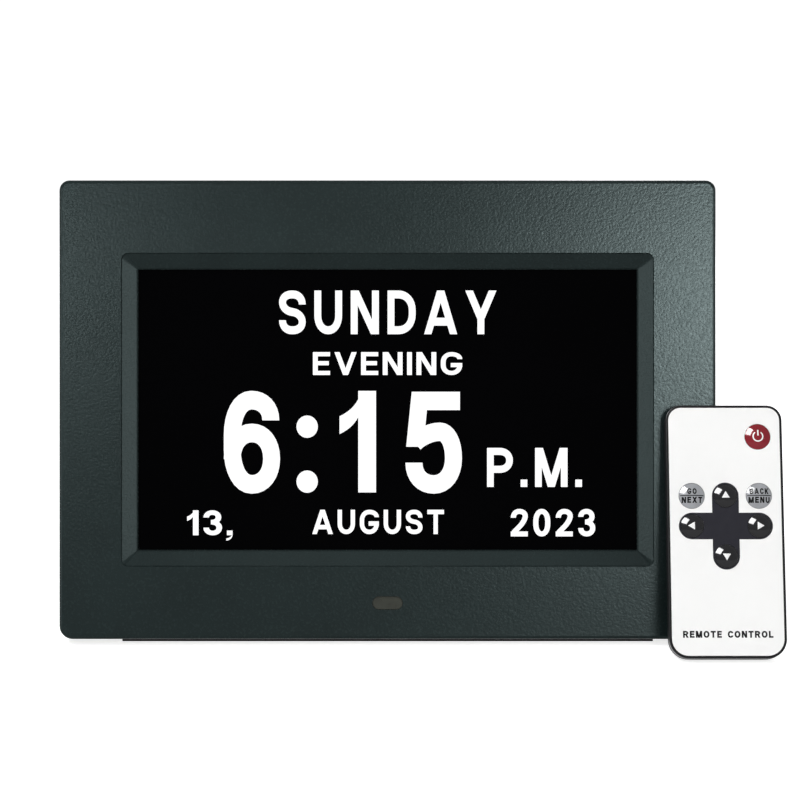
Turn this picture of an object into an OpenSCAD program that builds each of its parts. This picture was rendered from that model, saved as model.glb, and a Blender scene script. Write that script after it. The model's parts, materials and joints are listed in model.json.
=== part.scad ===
// Calendar day clock in a wide picture-frame case, standing on its fold-out leg,
// with its card remote control leaning against the right end of the frame.
// Both are drawn face up on the bench: X to the right, Y up the face, Z out of
// the face, the lower edge at Y = 0 and the face at Z = 0. stand_clock() and
// stand_remote() set them up on the table, which is the plane Z = 0.

/* [Clock body] */
// Width of the front frame
body_w = 226; // [212:1:250]
// Height of the front frame
body_h = 158; // [154:1:180]
// Depth from the face to the back of the rear cover
body_depth = 25; // [24:0.5:32]
// Depth of the front frame's side wall
frame_depth = 12; // [12:0.5:14]
// Wall thickness of the case mouldings
wall = 2.2; // [1.8:0.1:2.6]
// Thickness of the face
face_t = 2.4; // [1.8:0.1:2.6]
// Radius of the frame's two upper corners
corner_top_r = 3.5; // [3:0.1:7]
// Radius of the frame's two lower corners
corner_bottom_r = 4.6; // [3:0.1:7]
// Rounding of the frame's front edge
edge_r = 1.2; // [0.4:0.1:2]
// Length of the rubber strip that the frame stands on
strip_len = 184; // [150:1:200]
// Lean of the face back from upright, in degrees
lean = 10; // [8:1:14]

/* [Screen] */
// Width of the screen that shows
screen_w = 172.2; // [150:0.1:178]
// Height of the screen that shows
screen_h = 96.8; // [84:0.1:99]
// Width of the bevel round the screen
bevel_w = 5.6; // [4:0.1:6]
// Fall of the bevel from its outer to its inner edge
bevel_drop = 2.6; // [1.5:0.1:3]
// Fall of the steep step at the outer edge of the bevel
bevel_step = 0.4; // [0.2:0.1:0.8]
// Width of that step
step_w = 0.35; // [0.2:0.05:0.8]
// Width of the small chamfer at the bevel's inner edge
lip_w = 0.5; // [0.3:0.1:0.9]
// Fall of that chamfer
lip_drop = 0.5; // [0.3:0.1:0.9]
// Corner radius at the outer edge of the bevel
bevel_corner_r = 2.5; // [1:0.1:5]
// Border of the display panel that the frame covers, on each side
panel_border = 5.4; // [4.5:0.1:6]
// Thickness of the display panel in its can
panel_t = 4.2; // [3.8:0.1:4.6]

/* [Sensor window] */
// Length of the window's slot in the face
sensor_w = 10.5; // [8:0.1:14]
// Height of the window's slot
sensor_h = 4.6; // [3:0.1:6]

/* [Rear cover] */
// Bare margin between the frame's edge and the raised box at the back
back_margin = 14; // [13:0.5:15]
// Corner radius of the raised box
box_r = 9; // [5:0.5:14]
// Rounding of the raised box's back edge
box_edge_r = 3; // [1:0.5:4]
// Thickness of the cover's flange
flange_t = 2.4; // [2.2:0.1:2.6]
// Radius of the wall keyholes where a screw head goes in
keyhole_r = 4.5; // [4:0.1:5]
// Width of the keyholes' necks, where the screw's shank stays
neck_w = 4.6; // [3.6:0.1:5]
// Rise from a keyhole's round middle to its neck's end
neck_rise = 9; // [8:0.5:12]
// Half the distance between the two wall keyholes
keyhole_x = 60; // [45:1:80]
// Distance of the keyholes below the upper edge
keyhole_drop = 50; // [46:1:56]

/* [Leg] */
// Width of the leg at its hinge
leg_w = 48; // [36:1:56]
// Thickness of the leg
leg_t = 4.2; // [3.8:0.1:4.6]
// Height of the hinge above the lower edge
hinge_y = 78; // [70:1:86]
// Angle that the leg opens to, from the back of the clock, in degrees
leg_open = 24; // [18:1:30]
// Radius of the hinge pin
pin_r = 1.25; // [1:0.05:1.4]

/* [Clock keys] */
// Number of keys on the back
key_count = 7; // [7:1:7]
// Distance from one key to the next
key_pitch = 10.5; // [9.5:0.5:11]
// Radius of a key cap
key_r = 3; // [2.5:0.1:3.6]
// Travel of a key
key_travel = 0.5; // [0.3:0.1:0.6]
// Distance of the row of keys below the upper edge
key_row_drop = 27; // [25:1:30]

/* [Power inlet] */
// Radius of the inlet's bore
inlet_r = 2.85; // [2.4:0.05:3]
// Depth of the inlet's bore
inlet_depth = 10; // [8:0.5:11]
// Radius of the inlet's centre contact
inlet_pin_r = 1; // [0.6:0.05:1.25]
// Height of the inlet above the lower edge
inlet_y = 38; // [32:1:42]

/* [Speaker] */
// Radius of the speaker's basket
speaker_r = 18; // [14:0.5:19]
// Distance of the speaker from the middle, to the left seen from the front
speaker_x = 60; // [58:1:64]
// Height of the speaker above the lower edge
speaker_y = 66; // [62:1:72]

/* [Remote control] */
// Width of the remote
remote_w = 39.6; // [37:0.1:44]
// Length of the remote
remote_h = 86.3; // [84:0.1:95]
// Thickness of the remote
remote_t = 6.8; // [6.6:0.1:8]
// Radius of its two upper corners
remote_top_r = 5.2; // [4:0.1:7]
// Radius of its two lower corners
remote_bottom_r = 6.6; // [4:0.1:7.4]
// Black rim of the case that shows round the face
remote_rim = 0.8; // [0.6:0.1:1]
// Lean of the remote from upright, in degrees
remote_lean = 20; // [16:1:28]
// How far the remote's middle stands outside the frame's right edge
remote_out = 1.7; // [0:0.1:8]
// Radius of the power key and the two word keys
round_key_r = 4.3; // [3.8:0.1:4.6]
// Radius of the four arrow keys
arrow_key_r = 3.9; // [3.4:0.1:4.2]
// Height of a key's dome above the face
dome_h = 1.3; // [0.8:0.1:1.6]
// Travel of a remote key
remote_travel = 0.6; // [0.4:0.1:0.6]
// Distance of the outer keys from the middle
key_column_x = 11.4; // [10.8:0.1:12.2]
// Distance of the up and down keys from the middle of the cross
cross_reach = 10.3; // [9.8:0.1:11]
// Middle of the power key below the remote's top end
power_key_drop = 10.9; // [9:0.1:12]
// Middle of the cross below the remote's top end
cross_drop = 41.5; // [38:0.1:43]
// Width of the arms of the cross
arm_w = 9; // [8.9:0.1:9.6]
// Radius of the coin cell
cell_r = 10; // [8:0.1:10.2]
// Thickness of the coin cell
cell_t = 2.5; // [2:0.1:2.6]

/* [Hidden] */
$fn = 48;
SLIP = 0.01;            // overlap of solids that are fused
gap = 0.3;              // clearance between mouldings that only meet
fit_gap = 0.1;          // clearance of a piece in its seat
run_gap = 0.08;         // radial clearance of a turning pin

frame_black = [0.16, 0.19, 0.19];
cover_black = [0.12, 0.13, 0.14];
steel = [0.72, 0.73, 0.75];
rubber_black = [0.08, 0.08, 0.09];
board_green = [0.06, 0.30, 0.16];

// Clock, along Z from the face backwards
bevel_floor = bevel_step + bevel_drop;
lip_t = 1.2;
seat_z = bevel_floor + lip_t;
panel_front = seat_z + 0.05;
panel_back = panel_front + panel_t;
back_inside = body_depth - wall;
flange_front = frame_depth - flange_t;
mid_y = body_h / 2;

// Display panel
can_t = 0.3;
glass_t = 1.2;
can_w = screen_w + 2 * panel_border;
can_h = screen_h + 2 * panel_border;
well_wall = 1.6;
well_gap = 0.2;
well_depth = seat_z + 2.6;
well_w = can_w + 2 * (well_gap + well_wall);
well_h = can_h + 2 * (well_gap + well_wall);
panel_edge = 0.5;       // inset of the glass in its can

// Panel brackets
bracket_x = 60;
bracket_out = 4;
bracket_boss_r = 2.4;
bracket_t = 0.8;
bracket_w = 8;
bracket_y = can_h / 2 + bracket_out;
bracket_step = 1.2;     // from the can's back forward to the seat of a bracket
bracket_seat = panel_back - bracket_step;

// Screws
pilot_r = 1.1;
shank_r = pilot_r - 0.05;
head_r = 2.5;
head_h = 1.4;
small_head_r = 1.9;
small_head_h = 1;
boss_r = 3;
screw_inset = (wall + back_margin) / 2;
screw_x = body_w / 2 - screw_inset;
cover_screw_places = [for (x = [-screw_x, screw_x], y = [screw_inset, mid_y, body_h - screw_inset]) [x, y]];

// Sensor, in the middle of the border below the screen
sensor_y = (mid_y - screen_h / 2 - bevel_w) / 2;
sensor_board_t = 1;
sensor_post_h = 4.8;
sensor_board_front = face_t + sensor_post_h;
sensor_post_x = sensor_w / 2 + 6;
sensor_flange = 1.8;
sensor_flange_t = 1;

// Rear cover
keyhole_y = body_h - keyhole_drop;
box_w = body_w - 2 * back_margin;
box_h = body_h - 2 * back_margin;
cover_gap = 0.25;
cover_w = body_w - 2 * (wall + cover_gap);
cover_h = body_h - 2 * (wall + cover_gap);
vent_count = 9;
vent_pitch = 5;
vent_w = 2;
vent_h = 12;

// Leg and its channel
leg_inset = 0.2;
leg_gap = 0.5;
hinge_z = body_depth - leg_inset - leg_t / 2;
channel_depth = leg_inset + leg_t + 0.6;
channel_half = leg_w / 2 + leg_gap;
channel_top = hinge_y + leg_t / 2 + 1.1;
stop_gap = 0.05;
heel = (channel_depth - leg_inset - leg_t / 2 - stop_gap - leg_t / 2 * cos(leg_open)) / sin(leg_open);
pin_half = channel_half + wall + 1.8;
leg_tip_w = leg_w - 10;
leg_foot_len = 2.4;

// Foot strip, and the place of the clock on the table
strip_w = 3.5;
strip_back = 1;         // from the frame's back edge to the strip
strip_sink = 0.4;
strip_lift = 0.5;       // clearance of the frame's rear lower edge from the table
clock_up = frame_depth * sin(lean) + strip_lift;
function table_y(z) = (z * sin(lean) - clock_up) / cos(lean);
strip_mid = frame_depth - strip_back - strip_w / 2;
clock_back = -(table_y(strip_mid) * sin(lean) + strip_mid * cos(lean));
leg_len = (hinge_y * cos(lean) - hinge_z * sin(lean) + clock_up - leg_t / 2) / cos(leg_open - lean);

// Boards
board_t = 1.6;
parts_room = 4.5;       // from the panel's back to the main board, for the tallest part
board_front = panel_back + parts_room;
board_back = board_front + board_t;
board_w = 84;
board_h = 70;
board_side = 9.8;       // from the board's edge to the cover's side wall
board_x = box_w / 2 - wall - board_side - board_w / 2;
board_drop = 7;         // from the middle of the clock down to the board's middle
board_y = mid_y - board_drop;
board_top = board_y + board_h / 2;
board_low = board_y - board_h / 2;
board_hole_x = board_w / 2 - 4;
board_hole_y = board_h / 2 - 4;
board_post_low_x = channel_half + wall + 9.3;   // the inner posts stand clear of the channel
can_r = 2.5;
can_len = 4.6;
can_base = 0.8;
backup_r = 10;
backup_low = 1.3;       // from the board to the cell, which its holder carries
backup_t = 2.6;
backup_x = board_x - 15;
backup_y = board_y + 12;
key_ribbon_x = board_x + 12;

// Clock keys
key_out = 1;
key_flange_t = 1;
key_flange_r = key_r + 0.9;
key_hole_r = key_r + 0.3;
key_stem_r = 1.4;
switch_h = 3.5;
key_board_t = 1.2;
key_post_h = 7.2;
key_board_back = back_inside - key_post_h;
key_row_len = (key_count - 1) * key_pitch;
key_board_w = key_row_len + 22;
key_board_h = 10;
key_board_side = 2.8;   // from the board's end to the cover's side wall
key_row_mid = box_w / 2 - wall - key_board_side - key_board_w / 2;
key_row_x = key_row_mid - key_row_len / 2;
key_row_y = body_h - key_row_drop;
key_board_low = key_row_y - 0.5 - key_board_h / 2;
switch_top = key_board_back + switch_h + 0.6;
key_stem_end = switch_top + key_travel + 0.05;
key_post_x = key_board_w / 2 - 3;

// Power inlet
inlet_body = 9;
inlet_len = inlet_depth + 3;
inlet_nose_r = inlet_r + 0.6;
inlet_tail_r = inlet_pin_r - 0.25;
inlet_z = back_inside - 0.8 - inlet_body / 2;
inlet_wall_x = -(box_w / 2 - wall);

// Speaker
basket_h = 4.5;
magnet_r = speaker_r / 2;
magnet_h = 3.6;
speaker_rib = 1.4;
grille_slots = 7;
grille_pitch = 3.6;
grille_w = 1.6;

// Remote, along Z from its face backwards
remote_edge_r = 1.2;
remote_floor = remote_t - 1.2;
plate_t = 1.2;
plate_inset = remote_rim + fit_gap;
ledge = 0.6;
key_flange = 0.5;
remote_flange_t = 0.6;
mat_back = 2.7;
remote_board_front = 2.8;
remote_board_t = 1;
remote_board_low = 26;
cross_y = remote_h - cross_drop;
inlay_sink = 0.3;
inlay_out = 0.08;
tray_w = 2 * cell_r + 4;
tray_len = 2 * cell_r + 3.2;
tray_front = remote_floor - fit_gap - 0.3 - cell_t;
led_r = 1.5;
led_z = 3.6;
led_root = 6;           // from the remote's top end to the lamp's root
contact_t = 0.27;
contact_back = remote_board_front - 0.18;
contact_on_board = 3;   // length of a contact that lies on the board
contact_over_cell = 12;

// Round keys: name, x, y, radius
remote_keys = [
    [key_column_x, remote_h - power_key_drop, round_key_r],
    [-key_column_x, cross_y + cross_reach, round_key_r],
    [key_column_x, cross_y + cross_reach, round_key_r],
    [0, cross_y + cross_reach, arrow_key_r],
    [0, cross_y - cross_reach, arrow_key_r],
    [-key_column_x, cross_y, arrow_key_r],
    [key_column_x, cross_y, arrow_key_r]
];

// Place of the remote: its lower back edge is on the table, and its upper back
// edge is one gap in front of the clock's face
remote_x = body_w / 2 + remote_out;
edge_z = remote_t - remote_edge_r;
remote_up = remote_edge_r - (remote_edge_r * cos(remote_lean) - edge_z * sin(remote_lean));
top_edge_y = remote_h - remote_edge_r;
top_edge_up = top_edge_y * cos(remote_lean) - edge_z * sin(remote_lean) + remote_up;
remote_back = clock_back
    + ((top_edge_up - clock_up) * sin(lean) - remote_edge_r - gap) / cos(lean)
    - (top_edge_y * sin(remote_lean) + edge_z * cos(remote_lean));

// ---- shared shapes ----

// Sets the clock up on the table
module stand_clock()
    translate([0, clock_back, clock_up]) rotate([90 - lean, 0, 0]) children();

// Sets the remote up against the clock
module stand_remote()
    translate([remote_x, remote_back, remote_up]) rotate([90 - remote_lean, 0, 0]) children();

// Solid between two depths behind the face, from a flat shape
module layer(near, far)
    translate([0, 0, -far]) linear_extrude(far - near) children();

// Rectangle on its lower edge, with one radius above and one below
module card(w, h, r_up, r_low) {
    for (side = [-1, 1]) {
        translate([side * (w / 2 - r_up), h - r_up]) circle(r_up);
        translate([side * (w / 2 - r_low), r_low]) circle(r_low);
    }
    translate([-w / 2, r_low]) square([w, h - r_low - r_up]);
    translate([-w / 2 + r_low, 0]) square([w - 2 * r_low, h / 2]);
    translate([-w / 2 + r_up, h / 2]) square([w - 2 * r_up, h / 2]);
}

// Slot with round ends, lying along X
module stadium(length, width) {
    for (side = [-1, 1]) translate([side * (length - width) / 2, 0]) circle(d = width);
    square([length - width, width], center = true);
}

// Section of a slab's edge: a bar that reaches outwards from X = 0
module edge_section(reach, depth, front_r, back_r) {
    translate([0, back_r - depth]) square([reach, depth - front_r - back_r]);
    translate([0, -depth]) square([reach - back_r, depth]);
    translate([0, -depth / 2]) square([reach - front_r, depth / 2]);
    if (front_r > 0) translate([reach - front_r, -front_r]) circle(front_r);
    if (back_r > 0) translate([reach - back_r, back_r - depth]) circle(back_r);
}

// Same, with the square step that a bigger rear rounding leaves taken off
module edge_profile(reach, depth, front_r, back_r)
    intersection() {
        edge_section(reach, depth, front_r, back_r);
        union() {
            translate([0, -depth]) square([reach - max(front_r, back_r), depth]);
            translate([0, back_r - depth]) square([reach, depth - front_r - back_r]);
            if (front_r > 0) translate([reach - front_r, -front_r]) circle(front_r);
            if (back_r > 0) translate([reach - back_r, back_r - depth]) circle(back_r);
            translate([0, -depth / 2]) square([reach - front_r, depth / 2]);
            translate([0, -depth]) square([reach - back_r, depth / 2]);
        }
    }

// Slab with rounded corners, whose front and back edges are rounded too
module rounded_slab(w, h, r_up, r_low, depth, front_r, back_r) {
    band = max(r_up, r_low, back_r + 0.5);
    corners = [[w / 2 - r_up, h - r_up, r_up, 0], [r_up - w / 2, h - r_up, r_up, 90],
               [r_low - w / 2, r_low, r_low, 180], [w / 2 - r_low, r_low, r_low, 270]];
    for (c = corners)
        translate([c[0], c[1], 0]) rotate([0, 0, c[3]])
            rotate_extrude(angle = 90) edge_profile(c[2], depth, front_r, back_r);
    module bar(length)
        translate([-band, length / 2, 0]) rotate([90, 0, 0])
            linear_extrude(length) edge_profile(band, depth, front_r, back_r);
    for (side = [0, 180])
        translate([0, (h - r_up + r_low) / 2, 0]) rotate([0, 0, side]) translate([w / 2, 0, 0]) bar(h - r_up - r_low);
    translate([0, h, 0]) rotate([0, 0, 90]) bar(w - 2 * r_up);
    rotate([0, 0, 270]) bar(w - 2 * r_low);
    translate([band - w / 2, band, -depth]) cube([w - 2 * band, h - 2 * band, depth]);
}

// Screw whose head is towards the back, head's seat at Z = 0
module screw(radius, height, length) {
    difference() {
        translate([0, 0, -height]) cylinder(r = radius, h = height);
        for (turn = [0, 90]) rotate([0, 0, turn])
            translate([0, 0, -height]) cube([radius * 1.1, 0.5, height], center = true);
    }
    translate([0, 0, -SLIP]) cylinder(r = shank_r, h = length + SLIP);
}

// Smooth curve through the points of a route
function route_point(p, i) = p[max(0, min(len(p) - 1, i))];
function between(p, i, t) = 0.5 * (
    2 * route_point(p, i)
    + (route_point(p, i + 1) - route_point(p, i - 1)) * t
    + (2 * route_point(p, i - 1) - 5 * route_point(p, i) + 4 * route_point(p, i + 1) - route_point(p, i + 2)) * t * t
    + (3 * route_point(p, i) - route_point(p, i - 1) - 3 * route_point(p, i + 1) + route_point(p, i + 2)) * t * t * t);
function smooth(p, steps) = concat(
    [for (i = [0:len(p) - 2], s = [0:steps - 1]) between(p, i, s / steps)], [p[len(p) - 1]]);
function unit(v) = v / norm(v);
function heading(p, i) = unit(route_point(p, i + 1) - route_point(p, i - 1));

// Insulated wire of round section along a route that never runs along Y
module lead(route, r) {
    sides = 8;
    p = smooth(route, 3);
    rings = [for (i = [0:len(p) - 1])
        let (u = unit(cross(heading(p, i), [0, 1, 0])), v = cross(u, heading(p, i)))
            for (k = [0:sides - 1]) p[i] + r * (cos(360 * k / sides) * u + sin(360 * k / sides) * v)];
    skin = [for (i = [0:len(p) - 2], k = [0:sides - 1])
        let (a = i * sides + k, b = i * sides + (k + 1) % sides) [a, b, b + sides, a + sides]];
    ends = [[for (k = [sides - 1:-1:0]) k], [for (k = [0:sides - 1]) (len(p) - 1) * sides + k]];
    polyhedron(rings, concat(skin, ends), convexity = 6);
}

// Flat ribbon cable: a strip folded along straight runs in Y and Z
module ribbon(points, width, thick) {
    last = len(points) - 1;
    half = [for (i = [0:last])
        let (out = unit(points[min(i + 1, last)] - points[min(i, last - 1)]),
             back = unit(points[max(i, 1)] - points[max(i - 1, 0)]),
             mitre = [-out[1] - back[1], out[0] + back[0]])
            thick * mitre / (mitre * mitre)];
    edge = concat([for (i = [0:last]) points[i] - half[i]], [for (i = [last:-1:0]) points[i] + half[i]]);
    translate([-width / 2, 0, 0]) rotate([90, 0, 90]) linear_extrude(width)
        polygon([for (p = edge) [p[0], -p[1]]]);
}

// ---- front of the clock ----

module front_frame() {
    inner_top_r = max(corner_top_r - wall, 0.8);
    inner_bottom_r = max(corner_bottom_r - wall, 0.8);
    color(frame_black) stand_clock() difference() {
        union() {
            difference() {
                rounded_slab(body_w, body_h, corner_top_r, corner_bottom_r, frame_depth, edge_r, 0.6);
                translate([0, wall, 0]) layer(face_t, frame_depth + 1)
                    card(body_w - 2 * wall, body_h - 2 * wall, inner_top_r, inner_bottom_r);
            }
            translate([0, mid_y, 0]) layer(face_t - SLIP, well_depth) square([well_w, well_h], center = true);
            for (p = cover_screw_places)
                translate(p) layer(face_t - SLIP, flange_front - 0.05) circle(boss_r);
            for (x = [-bracket_x, bracket_x], side = [-1, 1])
                translate([x, mid_y + side * bracket_y]) layer(face_t - SLIP, bracket_seat) circle(bracket_boss_r);
            for (side = [-1, 1])
                translate([side * sensor_post_x, sensor_y]) layer(face_t - SLIP, sensor_board_front) circle(2.2);
        }
        // bevelled recess, and the opening for the screen
        translate([0, mid_y, 0]) {
            for (i = [0:len(recess_profile) - 2]) hull()
                for (p = [recess_profile[i], recess_profile[i + 1]])
                    translate([0, 0, -p[1]]) linear_extrude(SLIP) recess_outline(p[0], p[2]);
            layer(0, seat_z + 1) square([screen_w, screen_h], center = true);
            layer(seat_z, well_depth + 1)
                square([can_w + 2 * well_gap, can_h + 2 * well_gap], center = true);
        }
        translate([0, sensor_y]) layer(-1, face_t + 1) stadium(sensor_w, sensor_h);
        for (p = cover_screw_places) translate(p) layer(face_t, frame_depth) circle(pilot_r);
        for (x = [-bracket_x, bracket_x], side = [-1, 1])
            translate([x, mid_y + side * bracket_y]) layer(face_t, frame_depth) circle(pilot_r);
        for (side = [-1, 1])
            translate([side * sensor_post_x, sensor_y]) layer(face_t, frame_depth) circle(pilot_r);
        translate([-strip_len / 2 - fit_gap, -1, -strip_mid - strip_w / 2 - fit_gap])
            cube([strip_len + 2 * fit_gap, 1 + strip_sink, strip_w + 2 * fit_gap]);
    }
}

// Levels of the recess: reach beyond the screen, depth below the face, corner radius
recess_profile = [
    [bevel_w, 0, bevel_corner_r],
    [bevel_w - step_w, bevel_step, bevel_corner_r - step_w],
    [lip_w, bevel_floor, 0.4],
    [0, bevel_floor + lip_drop, 0.2]
];

module recess_outline(reach, r)
    translate([0, -(screen_h / 2 + reach)]) card(screen_w + 2 * reach, screen_h + 2 * reach, r, r, $fn = 32);

// Smoked plug that lets the remote's beam through, with a flange behind the face
module sensor_window()
    color([0.20, 0.19, 0.17]) stand_clock() translate([0, sensor_y]) {
        layer(0.5, face_t + fit_gap) stadium(sensor_w - 2 * fit_gap, sensor_h - 2 * fit_gap);
        layer(face_t + fit_gap / 2, face_t + sensor_flange_t)
            stadium(sensor_w + sensor_flange, sensor_h + sensor_flange);
    }

// Rubber strip under the frame, shaped so that it lies flat on the table
module foot_strip() {
    front = strip_mid - strip_w / 2;
    rear = strip_mid + strip_w / 2;
    seat = strip_sink - fit_gap / 2;
    color(rubber_black) stand_clock()
        translate([strip_len / 2, 0, 0]) rotate([0, -90, 0]) linear_extrude(strip_len)
            polygon([[-front, seat], [-front, table_y(front)], [-rear, table_y(rear)], [-rear, seat]]);
}

// ---- display panel ----

// Pressed steel can that holds the glass and its light
module panel_can()
    color(steel) stand_clock() translate([0, mid_y, 0]) difference() {
        layer(panel_front, panel_back) square([can_w, can_h], center = true);
        layer(panel_front + can_t, panel_back - can_t) square([can_w - 2 * can_t, can_h - 2 * can_t], center = true);
        layer(panel_front - 1, panel_front + 1) square([screen_w + 2, screen_h + 2], center = true);
    }

module panel_glass()
    color([0.02, 0.02, 0.03]) stand_clock() translate([0, mid_y, 0])
        layer(panel_front + can_t + 0.02, panel_front + can_t + glass_t)
            square([can_w - 2 * panel_edge, can_h - 2 * panel_edge], center = true);

module light_guide()
    color([0.90, 0.92, 0.95]) stand_clock() translate([0, mid_y + 1.5, 0])
        layer(panel_front + can_t + glass_t + 0.05, panel_back - can_t - 0.05)
            square([can_w - 2 * panel_edge, can_h - 2 * panel_edge - 3], center = true);

// Lamps along the lower edge of the light guide, on their own strip
module led_strip() {
    lamps = 18;
    strip_y = mid_y - can_h / 2 + panel_edge + 1.4;
    pitch = (can_w - 12) / lamps;
    color([0.95, 0.93, 0.70]) stand_clock() {
        translate([0, strip_y, 0]) layer(panel_back - can_t - 0.5, panel_back - can_t - 0.05)
            square([can_w - 4, 2.4], center = true);
        for (i = [0:lamps - 1])
            translate([(i - (lamps - 1) / 2) * pitch, strip_y, 0])
                layer(panel_back - can_t - 1.5, panel_back - can_t - 0.5 + SLIP) square([4, 1.2], center = true);
    }
}

// Stepped steel tabs that press the panel into its well
module panel_brackets() {
    rise_out = small_head_r + fit_gap + bracket_t;      // the step clears the screw's head
    tab_end = bracket_out + 2.5;    // how far the tab reaches over the can
    color(steel) stand_clock() for (x = [-bracket_x, bracket_x], side = [-1, 1])
        translate([x, mid_y + side * bracket_y, 0]) rotate([0, 0, side < 0 ? 0 : 180]) difference() {
            translate([-bracket_w / 2, 0, 0]) {
                layer(bracket_seat + 0.02, bracket_seat + bracket_t)
                    translate([0, -bracket_boss_r]) square([bracket_w, bracket_boss_r + rise_out]);
                layer(bracket_seat + 0.02, panel_back + bracket_t)
                    translate([0, rise_out - bracket_t]) square([bracket_w, bracket_t]);
                layer(panel_back + 0.02, panel_back + bracket_t)
                    translate([0, rise_out - bracket_t]) square([bracket_w, tab_end - rise_out + bracket_t]);
            }
            layer(bracket_seat - 1, bracket_seat + 2) circle(shank_r + 0.15);
        }
}

module bracket_screws()
    color(steel) stand_clock() for (x = [-bracket_x, bracket_x], side = [-1, 1])
        translate([x, mid_y + side * bracket_y, -bracket_seat - bracket_t - 0.02])
            screw(small_head_r, small_head_h, 4);

// Ribbon cable from the back of the panel to the main board
module panel_ribbon()
    color([0.75, 0.50, 0.15]) stand_clock() translate([board_x - 14, 0, 0])
        ribbon([[mid_y - can_h / 2 + 6, panel_back + 0.2], [board_low + 5, panel_back + 0.2],
                [board_low + 10, board_front - 1.1], [board_low + 14, board_front - 1.1]], 22, 0.3);

// ---- remote sensor ----

module sensor_board()
    color(board_green) stand_clock() translate([0, sensor_y, 0]) difference() {
        layer(sensor_board_front + 0.02, sensor_board_front + sensor_board_t)
            square([2 * sensor_post_x + 6, 9], center = true);
        for (side = [-1, 1]) translate([side * sensor_post_x, 0]) layer(0, frame_depth) circle(shank_r + 0.15);
    }

// Moulded receiver with its round lens towards the window
module sensor_receiver()
    color([0.10, 0.09, 0.09]) stand_clock() translate([0, sensor_y, 0]) {
        lens_z = face_t + sensor_flange_t + 0.4;
        layer(lens_z + 1.3, sensor_board_front) square([6, 7], center = true);
        translate([0, 0, -lens_z - 1.6]) intersection() {
            sphere(2.4);
            translate([0, 0, -0.5]) cylinder(r = 3, h = 2.1);
        }
    }

module sensor_screws()
    color(steel) stand_clock() for (side = [-1, 1])
        translate([side * sensor_post_x, sensor_y, -sensor_board_front - sensor_board_t - 0.02])
            screw(small_head_r, small_head_h, 4);

// ---- rear cover ----

module keyhole(x)
    translate([x, keyhole_y]) {
        circle(keyhole_r);
        translate([-neck_w / 2, 0]) square([neck_w, neck_rise]);
        translate([0, neck_rise]) circle(neck_w / 2);
    }

module rear_cover()
    color(cover_black) stand_clock() difference() {
        union() {
            difference() {
                union() {
                    translate([0, wall + cover_gap, 0]) layer(flange_front, frame_depth)
                        card(cover_w, cover_h, max(corner_top_r - wall, 0.8), max(corner_bottom_r - wall, 0.8));
                    cover_box();
                }
                translate([0, back_margin + wall, 0]) layer(flange_front - 1, back_inside)
                    card(box_w - 2 * wall, box_h - 2 * wall, box_r - wall, box_r - wall);
            }
            // walls of the leg's channel
            intersection() {
                cover_box();
                translate([-channel_half - wall, 0, -body_depth])
                    cube([2 * (channel_half + wall), channel_top + wall, channel_depth + wall]);
            }
            // bearings of the hinge pin
            for (side = [-1, 1]) translate([side * (channel_half + wall + 1 - SLIP), hinge_y, -hinge_z])
                rotate([0, 90, 0]) cylinder(r = pin_r + 1.2, h = 2, center = true);
            cover_posts();
        }
        // channel that the leg folds into
        translate([-channel_half, 0, -body_depth - 1]) cube([2 * channel_half, channel_top, channel_depth + 1]);
        translate([0, hinge_y, -hinge_z]) rotate([0, 90, 0])
            cylinder(r = pin_r + 0.03, h = 2 * (channel_half + wall + 3), center = true);
        for (side = [-1, 1]) layer(back_inside - 1, body_depth + 1) keyhole(side * keyhole_x);
        for (p = cover_screw_places) translate(p) {
            layer(0, body_depth) circle(shank_r + 0.4);
            layer(frame_depth - head_h, body_depth) circle(head_r + 0.4);
        }
        for (i = [0:key_count - 1]) translate([key_row_x + i * key_pitch, key_row_y])
            layer(back_inside - 1, body_depth + 1) circle(key_hole_r);
        // sound slots, cut to a round field
        translate([-speaker_x, speaker_y]) for (i = [0:grille_slots - 1])
            let (off = (i - (grille_slots - 1) / 2) * grille_pitch, half = sqrt(pow(speaker_r - 4, 2) - off * off))
                translate([0, off]) layer(back_inside - 1, body_depth + 1) stadium(2 * half, grille_w);
        vents();
        translate([-box_w / 2, inlet_y, -inlet_z]) rotate([0, 90, 0])
            cylinder(r = inlet_nose_r + fit_gap, h = 4 * wall, center = true);
        for (x = [-board_hole_x, board_hole_x], y = [-board_hole_y, board_hole_y])
            translate([board_post(x), board_y + y]) layer(0, back_inside - 1) circle(pilot_r);
        for (side = [-1, 1]) translate([key_row_mid + side * key_post_x, key_row_y - 1])
            layer(0, back_inside - 1) circle(pilot_r);
    }

module cover_box()
    translate([0, back_margin, -flange_front])
        rounded_slab(box_w, box_h, box_r, box_r, body_depth - flange_front, 0, box_edge_r);

function board_post(x) = x < 0 ? board_post_low_x : board_x + x;

// Posts and ribs that stand on the inside of the cover's back
module cover_posts() {
    for (x = [-board_hole_x, board_hole_x], y = [-board_hole_y, board_hole_y])
        translate([board_post(x), board_y + y]) layer(board_back, back_inside + SLIP) circle(boss_r);
    for (side = [-1, 1]) translate([key_row_mid + side * key_post_x, key_row_y - 1])
        layer(key_board_back, back_inside + SLIP) circle(2.6);
    translate([-speaker_x, speaker_y]) layer(back_inside - 3, back_inside + SLIP) difference() {
        circle(speaker_r + 0.3 + speaker_rib);
        circle(speaker_r + 0.3);
    }
    // cradle of the power inlet
    translate([inlet_wall_x - SLIP, inlet_y - inlet_body / 2 - 1.5, -back_inside - SLIP])
        difference() {
            cube([inlet_len + 1.5, inlet_body + 3, 5]);
            translate([-1, 1.5 - fit_gap, 0.8 - fit_gap + SLIP])
                cube([inlet_len + 1 + fit_gap, inlet_body + 2 * fit_gap, 6]);
        }
}

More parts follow.
